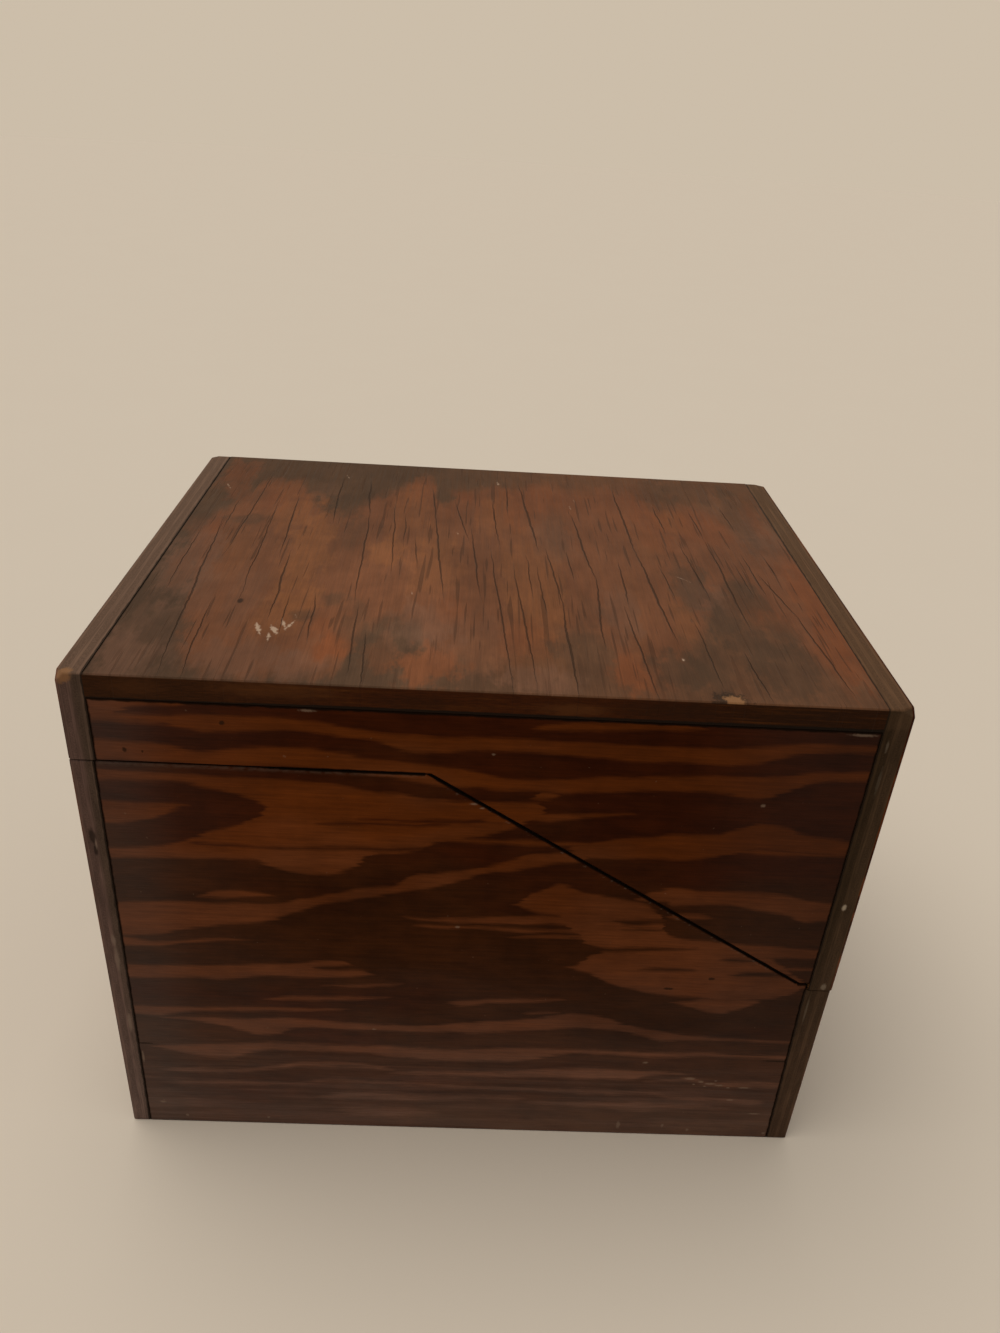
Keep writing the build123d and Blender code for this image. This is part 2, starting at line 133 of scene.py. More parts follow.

# Figure of the left side's veneer. A band is a row of points, each given as its distance
# from the back and the heights of the band's lower and upper edges there.
LIGHT_BANDS = (
    ((9, 192.5, 196), (20, 192.5, 196), (30, 193, 196), (38, 191.5, 197), (45, 190, 197),
     (50, 190.5, 197), (60, 191.5, 197), (80, 192, 196.5), (88, 191, 195), (100, 189.5, 193.5),
     (105, 187.5, 193.3), (112, 186, 193), (120, 186.5, 192.5), (135, 188, 193), (150, 188, 193),
     (165, 187, 192.8), (180, 186, 192.5), (205, 186, 192.5), (220, 187, 194), (228, 189.5, 194.8),
     (240, 192, 195.8), (258, 193, 196.5)),
    ((9, 193.5, 203), (15, 194, 203), (20, 197.5, 203), (26, 199, 203), (34, 199.8, 203), (41, 202, 202)),
    ((9, 178, 186.5), (30, 178, 185.7), (36, 178, 184), (42, 178, 183), (50, 178, 184), (70, 178, 185.5),
     (85, 178, 185), (100, 176, 182.5), (115, 174, 181.3), (122, 173, 180.7), (130, 173, 179.5),
     (140, 172.3, 177.5), (150, 172.5, 177), (160, 172, 178), (170, 173, 179.5), (180, 174, 180),
     (195, 175, 181), (212, 174.5, 181.7), (224, 173, 182.5), (230, 175, 183), (236, 178, 184.2),
     (243, 181, 185), (258, 182, 186)),
    ((134, 161, 167), (145, 160.3, 165), (155, 160.2, 163.8), (165, 161.3, 163.8), (175, 163, 164.8),
     (184, 164.6, 164.8)),
    ((165, 147.5, 150.3), (172, 145, 152.3), (180, 145, 154.5), (190, 146, 155.7), (200, 146, 157),
     (212, 147.3, 158), (220, 149.5, 160.5), (228, 151.6, 163), (236, 152, 162), (242, 151.5, 159.3),
     (258, 151, 156.7)),
    ((192, 127, 129), (198, 127, 132), (204, 125, 133.5), (212, 125.7, 132.6), (222, 126.5, 133),
     (232, 124.7, 133.2), (245, 122, 131.2), (251, 119.5, 130), (258, 120, 129)),
    ((203, 119.5, 121), (208, 119.3, 122), (217, 120.3, 121)),
    ((222, 106, 109), (232, 102.5, 108.2), (240, 101, 108), (250, 102, 107.2), (258, 102, 107)),
    ((246, 96, 96.2), (252, 95.8, 97.2), (258, 96, 97.3)),
    ((9, 170, 175), (20, 170.3, 174.3), (30, 170.3, 173.7), (40, 169, 173.7), (50, 166.5, 173.5),
     (60, 157, 173.5), (64, 146, 173.5), (70, 134, 173.3), (76, 133.3, 173), (84, 134.3, 172.6),
     (90, 137, 171.5), (94, 141, 170.7), (98, 144, 170), (106, 144.6, 169.7), (114, 146.5, 168.3),
     (119, 149.3, 168), (126, 150.8, 167.5), (133, 152.6, 168), (140, 155, 168), (146, 157.5, 168),
     (152, 162, 168)),
    ((9, 137, 142), (20, 138, 142.7), (28, 138.5, 144), (36, 139, 147), (44, 139, 151), (50, 138.6, 153),
     (56, 139, 156), (61, 137, 160), (66, 135, 166), (70, 134, 168)),
    ((9, 101.5, 117.5), (20, 102.5, 118.3), (30, 105.5, 119), (45, 108.5, 119), (58, 110.8, 119.3),
     (66, 114, 120.2), (74, 117.5, 122.7), (82, 120.5, 125), (92, 122.5, 127.5), (104, 125.7, 130),
     (112, 128, 134.5), (120, 130, 136), (130, 134, 138), (138, 137.3, 141), (146, 138.8, 144),
     (152, 140.5, 146.6), (160, 142.5, 147.3), (168, 143, 147)),
    ((9, 96.5, 101), (20, 97, 99.5), (30, 98.8, 100.7), (42, 100, 101.5), (53, 101.4, 101.6)),
    ((9, 81, 88), (20, 81, 88), (32, 82, 88), (42, 81.6, 88.3), (52, 82.7, 89.2), (62, 83.6, 90.3),
     (72, 83.6, 91.4), (80, 84.2, 93), (86, 84.5, 92.8), (90, 84.7, 90), (94, 85.3, 88),
     (97, 86.2, 86.6)),
    ((78, 79.7, 79.9), (86, 79.7, 80.7), (96, 80.2, 81.3), (108, 81.8, 82)),
    ((57, 71.8, 72), (64, 71.5, 73.5), (80, 72, 74.3), (92, 73.3, 75.2), (103, 75, 75.3)),
    ((125, 72.8, 73), (130, 71.7, 74.6), (142, 73.2, 75.6), (155, 74.8, 76.8), (168, 76.3, 76.7)),
    ((9, 61.5, 66), (16, 61, 66), (26, 63.5, 66), (40, 64.5, 66.5), (60, 65.5, 67.5), (78, 66.5, 67.8),
     (86, 67.5, 67.7)),
    ((18, 60.3, 60.6), (28, 59, 61), (38, 57.5, 61.3), (46, 55, 61.5), (54, 52.3, 61.7), (60, 52.5, 62),
     (66, 56, 62.5), (74, 57.2, 62), (86, 56.8, 61), (100, 56.8, 60.2), (114, 56.2, 59.8),
     (124, 56.6, 61.3), (136, 56.8, 63), (148, 58.2, 64.5), (158, 59.6, 66), (166, 60.7, 68),
     (176, 61.6, 69.3), (184, 61, 68), (192, 60.3, 64.6), (200, 58.5, 62.8), (208, 56, 61.7),
     (216, 56.6, 60), (232, 57.1, 58.8), (258, 57.2, 58.2)),
    ((155, 68.6, 69), (160, 68.8, 70), (167, 69.3, 69.6)),
    ((14, 43.5, 44.5), (24, 41, 45.4), (32, 39.4, 46.2), (40, 38.6, 46.8), (47, 40.4, 47.5),
     (53, 42.6, 48), (64, 43.7, 48.4), (80, 43.9, 48.2), (96, 43.7, 48), (108, 42, 48), (120, 41.5, 47.7),
     (134, 41, 48), (146, 41.5, 49.2), (156, 42, 50), (163, 44.5, 50), (170, 46.2, 49.8), (180, 47, 49.8),
     (192, 47, 49.5), (205, 46.7, 49.6), (216, 46.8, 50.3), (226, 48, 50.2), (240, 48.3, 49.8),
     (258, 47.7, 49.7)),
    ((16, 30.7, 31.3), (26, 30.2, 32.4), (40, 30.5, 33.2), (50, 31.2, 33.4), (60, 33, 35.5),
     (70, 35, 37.5), (84, 36, 38.2), (96, 35.5, 37.3), (104, 34.7, 35)),
    ((104, 32.6, 33), (112, 32, 34.3), (126, 31.8, 34.2), (138, 31.8, 34.8), (150, 32.4, 36),
     (162, 33, 37.5), (174, 32.8, 39), (186, 33, 39.3), (198, 33.4, 38.8), (206, 35.4, 38.6),
     (214, 36.8, 38.3), (220, 37.3, 37.6)),
    ((204, 32.4, 32.7), (212, 32.3, 33.8), (222, 33.4, 35.3), (232, 31.5, 33), (242, 30.5, 34),
     (258, 30.5, 34)),
    ((16, 23.6, 23.9), (26, 23.2, 24.8), (48, 23.4, 25), (64, 24.6, 25), (80, 26.2, 28),
     (100, 25.8, 27.6), (120, 25.6, 27.4), (140, 25.7, 27.3), (158, 25, 26.6), (180, 24, 26.5),
     (206, 24.5, 26.3), (222, 22.6, 24.4), (238, 21.8, 23.5), (252, 20.5, 22.5)),
    ((76, 17.5, 18), (88, 16.6, 20.7), (104, 16.6, 21), (118, 16.8, 20.5), (132, 18, 21), (148, 19, 21),
     (156, 19.7, 20.2)),
    ((160, 17.5, 17.9), (176, 16.4, 18.6), (190, 16, 19.6), (206, 14.6, 19.5), (216, 15.8, 19.3),
     (230, 17, 18.5), (240, 17.5, 17.9)),
    ((84, 9, 9.4), (92, 7.4, 11), (104, 7.2, 11.6), (114, 8, 11), (122, 9.5, 9.9)),
    ((148, 122, 123.5), (152, 120.5, 127.7), (157, 119, 131), (163, 118, 133.3), (170, 110, 130.5),
     (176, 104.5, 129.2), (184, 103.5, 128), (192, 104, 126), (199, 104.2, 121.5), (203, 104, 112),
     (210, 104, 109.5), (222, 103, 108.8), (230, 100, 108)),
    ((108, 115.6, 115.8), (120, 114, 116), (134, 113.5, 116.8), (148, 114, 117.7), (160, 114.7, 118.3),
     (172, 114, 119)),
    ((112, 111.4, 111.8), (122, 110.8, 112.6), (134, 111, 112.5), (150, 109.8, 112), (166, 110.5, 112.3),
     (174, 110, 113)),
    ((146, 107, 107.2), (156, 107.2, 108.8), (170, 107.6, 109.3), (178, 106, 109)),
    ((169, 93.2, 93.8), (172, 92, 95), (177, 90.5, 99.5), (183, 87, 102.3), (190, 84.4, 104.5),
     (198, 82, 105), (206, 81, 105), (218, 80.3, 106), (232, 79, 106), (242, 80, 101), (250, 82, 96),
     (255, 85, 92), (257, 87, 89)),
    ((210, 76.8, 77.2), (216, 75.2, 78.5), (222, 73, 80), (228, 72.4, 80), (234, 74.5, 80),
     (240, 77.5, 80)),
)
DARK_BANDS = (
    ((9, 141.8, 169.5), (20, 143, 170.2), (28, 144.2, 170.5), (34, 146.3, 169.4), (42, 150, 168.6),
     (50, 152.7, 167), (57, 156, 165), (61, 160, 163)),
    ((38, 144.8, 145.2), (60, 144.6, 145.4), (90, 145.1, 146), (118, 146.4, 146.8)),
    ((80, 155.4, 155.7), (92, 155.7, 156.4), (110, 156.6, 157), (122, 157.6, 157.9)),
    ((94, 157.8, 158), (108, 158.1, 158.8), (122, 158.7, 159.4), (134, 159.6, 159.9)),
    ((76, 88.6, 88.9), (82, 88.3, 89.6), (90, 88.4, 90.4), (98, 88, 91)),
    ((176, 102.4, 102.6), (184, 101.8, 103.8), (196, 103, 104.6), (208, 104.3, 105), (214, 104.9, 105.1)),
    ((184, 117, 117.3), (190, 115.6, 117.7), (200, 116.8, 118.5), (208, 110.5, 119.5), (214, 109.8, 118)),
    ((188, 113.2, 113.4), (194, 113, 114), (202, 113.6, 113.9)),
    ((196, 93.4, 93.7), (204, 93.3, 94.6), (214, 94, 94.4)),
    ((230, 92.6, 93), (236, 92.4, 94.2), (246, 92.7, 94), (252, 93.2, 93.5)),
    ((225, 99.4, 99.7), (230, 98.9, 100.2), (237, 99.5, 99.8)),
    ((20, 62, 62.3), (36, 61.8, 63.6), (60, 62.7, 65), (80, 64, 66)),
)
INNER_LIGHT_BANDS = (
    ((9, 152.5, 162), (16, 153, 161.7), (24, 154.8, 161.6), (30, 157.5, 161.7), (35, 160.5, 161.2)),
    ((37, 121.3, 122.3), (42, 121.3, 124.5), (52, 121.8, 125.2), (58, 122.6, 124.2), (61, 123, 123.2)),
    ((148, 197, 197.4), (156, 196.6, 199.6), (168, 197, 200.6), (184, 198, 201), (202, 199.5, 200)),
    ((150, 169.6, 170), (153, 169.4, 172.4), (157, 170.3, 171.8)),
)

# How far a pointed band runs on past its last point, and how far its two edges have crossed there
BAND_TIP_RUN = 4.0
BAND_TIP_CLOSE = 1.5

# Checks in the top veneer: (from the back, across) at one end, the same at the other, and the width
TOP_CHECKS = (
    ((22.5, 132), (30.8, 4), 0.7), ((33.6, 192), (31, 96), 0.45), ((16.2, 118), (17.6, 64), 0.4),
    ((36, 52), (38.4, 2), 0.5), ((41.6, 152), (44.6, 58), 0.45), ((49.2, 160), (52, 96), 0.6),
    ((55.6, 98), (58, 42), 0.7), ((65.6, 186), (68, 132), 0.7), ((70.6, 62), (73.4, 28), 0.55),
    ((78, 186), (82.6, 142), 0.75), ((82.4, 146), (85, 58), 0.6), ((86.8, 54), (88.8, 8), 0.55),
    ((92.6, 152), (96.6, 84), 0.5), ((98, 142), (99, 116), 0.4), ((91.6, 34), (93.6, 0), 0.5),
    ((107.4, 178), (111.4, 142), 0.7), ((110.6, 148), (116.6, 66), 0.7), ((118.6, 164), (125, 120), 0.5),
    ((126.2, 130), (130, 68), 0.6), ((135.2, 170), (137.6, 116), 0.55), ((134, 112), (141, 2), 0.55),
    ((141.2, 190), (142, 152), 0.5), ((147.2, 190), (153.6, 112), 0.9), ((143, 94), (148.6, 6), 0.6),
    ((148.2, 106), (149.6, 70), 0.4), ((152, 96), (154, 56), 0.4), ((156.6, 114), (160.4, 62), 0.6),
    ((160, 66), (161.2, 0), 0.8), ((165, 112), (166, 86), 0.4), ((169.4, 154), (174.6, 86), 0.75),
    ((174.6, 92), (172.6, 32), 0.7), ((185.2, 104), (184.8, 66), 0.55), ((183, 64), (186.6, 0), 0.6),
    ((191.2, 192), (193.6, 112), 0.8), ((193.4, 118), (198.8, 38), 0.85), ((208, 170), (208.8, 138), 0.6),
    ((213, 126), (216.6, 74), 0.45), ((207.6, 56), (208.6, 8), 0.4), ((220.6, 34), (222.6, 2), 0.5),
    ((223.6, 168), (224.6, 134), 0.5), ((225.2, 132), (226.6, 50), 0.7), ((238, 118), (238.8, 84), 0.4),
    ((240.6, 98), (246.4, 62), 0.55), ((246, 66), (250.8, 8), 0.65), ((247, 118), (247.6, 96), 0.4),
    ((239, 172), (240, 144), 0.4), ((24.4, 152), (25, 120), 0.35), ((201, 104), (203.6, 72), 0.35),
    ((103.6, 118), (106, 92), 0.35), ((61.6, 60), (63.4, 32), 0.35), ((232.6, 108), (234, 78), 0.35),
)

# Red part of the top: (from the back, left edge, right edge)
TOP_RED_FIELD = (
    (8, 122, 124), (14, 114, 130), (22, 92, 142), (28, 44, 160), (33, 16, 178), (46, 3, 180),
    (53, 2, 165), (60, 2, 150), (68, 2, 143), (76, 4, 150), (83, 6, 166), (89, 30, 172), (96, 44, 183),
    (104, 46, 193), (109, 42, 184), (112, 34, 162), (119, 24, 172), (127, 18, 180), (136, 15, 186),
    (146, 30, 184), (156, 40, 190), (166, 44, 190), (174, 36, 190), (180, 8, 192), (190, 4, 192),
    (197, 22, 190), (205, 38, 172), (214, 62, 172), (224, 82, 172), (233, 92, 166), (239, 62, 142),
    (248, 24, 132), (258, 16, 136),
)

# Soft ovals on the top: (from the back, across, half length each way, strength)
# Ovals of painted light, where the top is painted brighter
TOP_PAINTED_LIGHT = ((96, 38, 34, 95, 0.42), (142, 10, 60, 46, 0.17))
TOP_SHADOWS = (
    (25, 32, 8, 11, 0.8), (30, 7, 6, 8, 0.5), (13, 40, 4, 12, 0.45), (12, 132, 5, 22, 0.6),
    (33, 131, 9, 5, 0.6), (26, 160, 8, 12, 0.3), (46, 197, 13, 11, 0.85), (86, 186, 8, 18, 0.8),
    (62, 180, 11, 12, 0.4), (72, 150, 6, 20, 0.35), (78, 122, 5, 16, 0.35), (114, 169, 4, 8, 0.9),
    (120, 186, 8, 9, 0.6), (134, 194, 8, 8, 0.5), (88, 42, 5, 15, 0.5), (77, 60, 4, 5, 0.6),
    (69, 45, 4, 4, 0.6), (100, 34, 6, 12, 0.3), (151, 22, 6, 9, 0.15), (165, 24, 6, 22, 0.35),
    (170, 58, 5, 12, 0.3), (196, 18, 11, 12, 0.8), (207, 22, 7, 20, 0.65), (211, 86, 8, 22, 0.6),
    (218, 54, 6, 12, 0.75), (230, 86, 5, 9, 0.65), (224, 38, 9, 15, 0.6), (233, 22, 12, 20, 0.7),
    (238, 52, 6, 10, 0.5), (212, 186, 8, 22, 0.55), (228, 192, 14, 16, 0.5), (246, 168, 6, 30, 0.45),
    (252, 196, 10, 10, 0.35), (162, 136, 5, 26, 0.25), (250, 128, 9, 10, 0.3), (176, 190, 10, 10, 0.3),
    (14, 62, 7, 16, 0.3),
)
TOP_MAUVES = (
    (20, 88, 9, 34, 0.8), (19, 18, 12, 26, 0.75), (30, 60, 6, 20, 0.3), (250, 143, 9, 25, 0.6),
    (214, 76, 8, 16, 0.6), (182, 60, 7, 20, 0.5), (128, 30, 12, 22, 0.3), (112, 42, 11, 18, 0.5),
    (150, 8, 12, 9, 0.6), (60, 170, 6, 10, 0.35), (236, 176, 10, 16, 0.4), (160, 130, 8, 24, 0.4),
    (46, 60, 6, 22, 0.3), (54, 13, 15, 12, 0.5), (74, 12, 8, 10, 0.4),
)
TOP_REDS = (
    (18, 184, 8, 22, 0.5), (20, 96, 6, 30, 0.35), (82, 24, 5, 7, 1.0), (76, 38, 4, 9, 0.6),
    (256, 72, 6, 46, 0.9), (251, 34, 6, 20, 0.6), (180, 15, 7, 12, 0.9), (114, 14, 9, 13, 0.7),
    (204, 152, 8, 42, 0.45), (146, 34, 8, 14, 0.5), (224, 146, 14, 20, 0.5), (144, 146, 5, 14, 0.4),
    (236, 58, 7, 9, 0.5), (120, 56, 6, 12, 0.4), (24, 160, 6, 9, 0.5), (156, 170, 12, 18, 0.3),
    (252, 158, 4, 20, 0.45), (22, 122, 3, 7, 0.6), (98, 20, 5, 12, 0.3), (79, 22, 4, 6, 0.9),
    (40, 152, 5, 10, 0.4), (120, 172, 6, 9, 0.5),
)
TOP_ORANGES = (
    (148, 16, 12, 15, 0.35), (128, 26, 8, 14, 0.3), (186, 60, 5, 30, 0.3), (62, 104, 8, 42, 0.9),
    (50, 142, 9, 20, 0.6), (92, 104, 6, 13, 0.8), (98, 152, 8, 28, 0.5), (150, 84, 12, 40, 0.6),
    (66, 58, 7, 14, 0.8), (137, 150, 9, 22, 0.5), (214, 152, 7, 14, 0.8), (44, 164, 6, 12, 0.4),
    (152, 54, 10, 18, 0.5), (204, 56, 4, 18, 0.5), (200, 126, 6, 22, 0.35), (34, 96, 6, 24, 0.3),
    (160, 186, 6, 10, 0.3), (112, 92, 10, 24, 0.5), (60, 42, 8, 14, 0.6), (110, 118, 7, 16, 0.4),
)

TOP_SCUFFS = (
    ((54.0, 39.5), (57.2, 29.5), 2.0), ((59.0, 38.0), (63.0, 30.0), 1.9), ((59.6, 32), (60.3, 26), 1.6),
    ((62.0, 43), (65.0, 34.0), 1.8), ((66.8, 41.4), (64.2, 33.8), 1.6), ((60.2, 36.6), (61.4, 32.4), 3.0),
    ((206.5, 94), (212.6, 88), 0.8), ((66.2, 46), (67.4, 42.6), 0.7), ((62.6, 33.4), (62.0, 30.4), 1.1),
    ((137.4, 192), (137.8, 187.4), 1.3), ((169.6, 166), (170, 160.4), 1.0),
    ((171.8, 174), (172.4, 171), 0.8), ((198, 28), (198.6, 24.6), 1.0), ((89.8, 200), (90.4, 197), 0.8),
    ((104.8, 69), (105.2, 66), 0.8), ((120, 128), (120.5, 125), 0.7), ((15, 172), (18.4, 164.6), 0.8),
    ((66.8, 191), (68.4, 186), 0.7),
)

# Soft ovals on the strip of the top's edge: (from the back, height, half length each way, strength)
STRIP_LIGHT_SMEARS = ((66, 207.0, 18, 2.4, 0.5), (160, 204.6, 10, 2.0, 0.6), (24, 206.0, 8, 2.6, 0.3))
STRIP_DARK_SMEARS = ((190, 206.0, 16, 3.0, 0.5), (110, 205.0, 12, 2.2, 0.4), (236, 205.0, 14, 3.4, 0.3))

# The same on the left ends of the boards, and the painted light and shade of the left side's face: ovals
# where its colour is painted brighter or darker, the one along the foot a painted bounce light off the
# floor
BACK_END_GOUGES = ((3.4, 146.5, 1.0, 3.8, 0.8), (3.8, 140.5, 0.7, 2.2, 0.8))
BACK_END_RUBS = (
    (4.6, 90.0, 0.8, 6.0, 0.4), (4.4, 99.0, 0.7, 2.5, 0.4), (5.2, 57.0, 0.6, 4.0, 0.4),
    (4.2, 143.0, 0.3, 2.0, 0.4),
)
FRONT_END_FLECKS = (
    (263.7, 127.3, 0.7, 1.2, 0.85), (264.8, 88.0, 1.0, 1.4, 0.3), (262.0, 196.0, 0.4, 2.0, 0.16),
    (260.8, 76.0, 0.4, 6.0, 0.12), (262.6, 182.0, 0.5, 5.0, 0.08),
)
SIDE_PAINTED_LIGHT_AND_SHADE = (
    (66, 143, 44, 31, 0.14), (205, 102, 52, 20, 0.14), (85, 126, 40, 20, -0.2), (198, 64, 38, 11, -0.22),
    (50, 4, 100, 34, 0.1),
)

# Small marks on the left side: (from the back, height, half length each way)
SIDE_SPECKS = (
    (226.5, 170.6, 0.7, 0.6), (136.0, 186.6, 0.5, 0.4), (127.2, 111.5, 0.7, 0.5), (80.6, 202.0, 0.9, 0.5),
    (77.0, 200.2, 2.2, 0.5), (253.5, 200.0, 3.6, 0.5), (13.0, 11.6, 1.0, 0.5), (22.0, 3.8, 0.6, 0.7),
    (54.6, 3.8, 0.5, 0.6), (197.2, 5.4, 0.7, 1.9), (215.4, 5.8, 0.5, 0.9), (222.6, 34.9, 1.8, 0.6),
    (227.2, 33.2, 0.9, 0.6), (231.0, 32.2, 2.0, 0.5), (234.8, 31.4, 1.4, 0.5), (245.0, 30.4, 2.2, 0.35),
    (240.6, 22.8, 1.2, 0.4), (252.0, 14.8, 2.2, 0.35), (97.4, 57.4, 0.7, 0.35), (203.6, 43.4, 0.9, 0.5),
    (226.0, 3.6, 0.5, 0.7), (258.0, 2.8, 0.7, 0.6), (8.1, 38.0, 0.4, 2.8), (224.6, 31.6, 0.5, 0.35),
    (229.0, 30.6, 0.5, 0.35), (238.6, 30.2, 0.6, 0.35), (233.0, 34.0, 0.5, 0.3),
    (130.6, 166.4, 1.2, 0.35), (133.4, 164.8, 0.8, 0.3), (141.0, 161.6, 1.0, 0.35),
)
SIDE_DOTS = (
    (50.0, 194.2, 0.8, 0.8), (18.4, 182.4, 0.7, 0.9), (222.2, 90.2, 1.1, 0.7), (24.0, 182.0, 0.3, 0.5),
    (207.0, 84.4, 1.8, 0.6), (9.6, 45.6, 2.8, 0.35), (255.0, 46.6, 5.0, 0.35),
)


def colour_setting(name, description, default):
    """A colour that a user can change."""
    return bpy.props.FloatVectorProperty(
        name=name, description=description, subtype="COLOR", size=3, min=0.0, max=1.0, default=default)


class WoodColours(bpy.types.PropertyGroup):
    """Colours of the stain and of the wood under it."""

    light_wood: colour_setting(
        "Light band", "Soft wood of the sides under the stain", (0.118, 0.0272, 0.0034))
    dark_wood: colour_setting(
        "Dark band", "Hard wood of the sides, which took the most stain", (0.044, 0.0085, 0.0012))
    # Dust with a painted sheen: the pale floor's reflection painted into the colour
    dust_and_sheen_film: colour_setting(
        "Dust", "Film of dust and rubbing over the stain, with a painted sheen of the floor, towards the floor", (0.033, 0.0312, 0.0290))
    top_wood: colour_setting(
        "Top", "Worn stain in the middle of the top", (0.162, 0.0600, 0.0262))
    top_red: colour_setting(
        "Top, red", "Where the stain on the top is reddest", (0.172, 0.0540, 0.0195))
    top_orange: colour_setting(
        "Top, orange", "Where the stain on the top is rubbed thinnest", (0.205, 0.0760, 0.0280))
    top_mauve: colour_setting(
        "Top, dull", "Dull pinkish brown between the red and the handled parts", (0.148, 0.0720, 0.0425))
    top_shadow: colour_setting(
        "Top, handled", "Grey-brown hand marks along the edges of the top", (0.070, 0.0372, 0.0202))
    inside_dark: colour_setting(
        "Inside, dark band", "Hard wood of the figure inside the box", (0.210, 0.088, 0.032))
    inside_wood: colour_setting(
        "Inside", "Thinly stained fir inside the box", (0.300, 0.150, 0.062))
    edge_wood: colour_setting(
        "Ply edge", "Stained edges of the plywood", (0.112, 0.0620, 0.0430))


class MetalColours(bpy.types.PropertyGroup):
    """Colours of the hinges, screws and brads."""

    brass: colour_setting(
        "Brass", "Brass of the hinges and their screws", (0.520, 0.345, 0.135))
    tarnish: colour_setting(
        "Tarnish", "Brown tarnish on the brass", (0.130, 0.070, 0.025))
    steel: colour_setting(
        "Steel", "Steel of the brads", (0.330, 0.320, 0.300))


class StudioSizes(bpy.types.PropertyGroup):
    """Floor, lamps and camera of the studio."""

    floor_colour: colour_setting(
        "Floor", "Colour of the plain floor", (0.740, 0.650, 0.540))
    wall_colour: colour_setting(
        "Surroundings", "Colour of what lies beyond the floor", (0.605, 0.5135, 0.4005))
    floor_radius: bpy.props.FloatProperty(
        name="Floor radius", description="Radius of the round floor", default=6.0, unit="LENGTH")
    lamp_spread: bpy.props.FloatProperty(
        name="Lamp spread", description="Angle across the large soft lamp overhead", unit="ROTATION",
        default=math.radians(55))
    lamp_lean: bpy.props.FloatVectorProperty(
        name="Lamp lean", description="Turn of the lamp away from straight down", subtype="EULER",
        unit="ROTATION", size=3, default=(math.radians(-14), math.radians(3), 0.0))
    lamp_strength: bpy.props.FloatProperty(
        name="Lamp strength", description="Strength of the large soft lamp", default=1.75)
    sky_strength: bpy.props.FloatProperty(
        name="Soft light", description="Strength of the even light from all round", default=0.28)
    camera_place: bpy.props.FloatVectorProperty(
        name="Camera", description="Where the camera stands", subtype="XYZ", unit="LENGTH", size=3,
        default=(-0.37569, 0.00956, 0.37336))
    lens: bpy.props.FloatProperty(
        name="Lens", description="Focal length on a 36 mm wide sensor", default=27.62, unit="CAMERA")


class Field:
    """A number that varies over a surface, such as a height or a share of stain: one output of a node."""

    def __init__(self, tree, socket):
        self.tree = tree
        self.socket = socket

    def maths(self, operation, *others):
        """This field and other fields or numbers, through one Math node."""
        node = self.tree.nodes.new("ShaderNodeMath")
        node.operation = operation
        for place, value in zip(node.inputs, (self, *others)):
            feed(self.tree, place, value)
        return Field(self.tree, node.outputs[0])

    def __add__(self, other):
        return self.maths("ADD", other)

    def __sub__(self, other):
        return self.maths("SUBTRACT", other)

    def __rsub__(self, other):
        return self.maths("MULTIPLY_ADD", -1.0, other)

    def __mul__(self, other):
        return self.maths("MULTIPLY", other)

    __radd__ = __add__
    __rmul__ = __mul__

    def least(self, other):
        """The smaller of two fields."""
        return self.maths("MINIMUM", other)

    def most(self, other):
        """The larger of two fields."""
        return self.maths("MAXIMUM", other)

    def size(self):
        """The field without its sign."""
        return self.maths("ABSOLUTE")

    def square(self):
        """The field times itself."""
        return self * self

    def ramp(self, low, high, start=0.0, end=1.0):
        """A smooth step from start to end, while the field goes from low to high."""
        node = self.tree.nodes.new("ShaderNodeMapRange")
        node.interpolation_type = "SMOOTHSTEP"
        for place, value in zip(node.inputs, (self, low, high, start, end)):
            feed(self.tree, place, value)
        return Field(self.tree, node.outputs[0])

    def curve(self, points):
        """The height of a drawn line at this field. Both run from 0 to 1."""
        node = self.tree.nodes.new("ShaderNodeFloatCurve")
        mapping = node.mapping
        mapping.use_clip = False
        mapping.extend = "HORIZONTAL"
        line = mapping.curves[0]
        line.points[0].location = points[0]
        line.points[1].location = points[-1]
        for point in points[1:-1]:
            line.points.new(*point)
        for point in line.points:
            point.handle_type = "AUTO_CLAMPED"
        mapping.update()
        node.inputs["Factor"].default_value = 1.0
        feed(self.tree, node.inputs["Value"], self)
        return Field(self.tree, node.outputs[0])


def feed(tree, socket, value):
    """Links a field or socket to a socket, or sets a plain number or colour on it."""
    if isinstance(value, Field):
        value = value.socket
    if isinstance(value, bpy.types.NodeSocket):
        tree.links.new(value, socket)
    elif socket.type == "RGBA":
        socket.default_value = (*value, 1.0)[:4]
    else:
        socket.default_value = value


def mixed(tree, share, first, second):
    """Colour that goes from first to second with the share."""
    node = tree.nodes.new("ShaderNodeMix")
    node.data_type = "RGBA"
    for place, value in zip((0, 6, 7), (share, first, second)):
        feed(tree, node.inputs[place], value)
    return node.outputs[2]


def node_group(name, sockets_in, socket_out, recipe):
    """A group of nodes with number and colour inputs and one output. It is made once, by its recipe."""
    group = bpy.data.node_groups.get(name)
    if group is None:
        group = bpy.data.node_groups.new(name, "ShaderNodeTree")
        for title in sockets_in:
            kind = "NodeSocketColor" if title in ("Colour", "Tint") else "NodeSocketFloat"
            group.interface.new_socket(title, in_out="INPUT", socket_type=kind)
        kind = "NodeSocketColor" if socket_out == "Colour" else "NodeSocketFloat"
        group.interface.new_socket(socket_out, in_out="OUTPUT", socket_type=kind)
        entrance = group.nodes.new("NodeGroupInput")
        way_out = group.nodes.new("NodeGroupOutput")
        fields = [Field(group, socket) for socket in entrance.outputs[:len(sockets_in)]]
        feed(group, way_out.inputs[0], recipe(group, *fields))
    return group


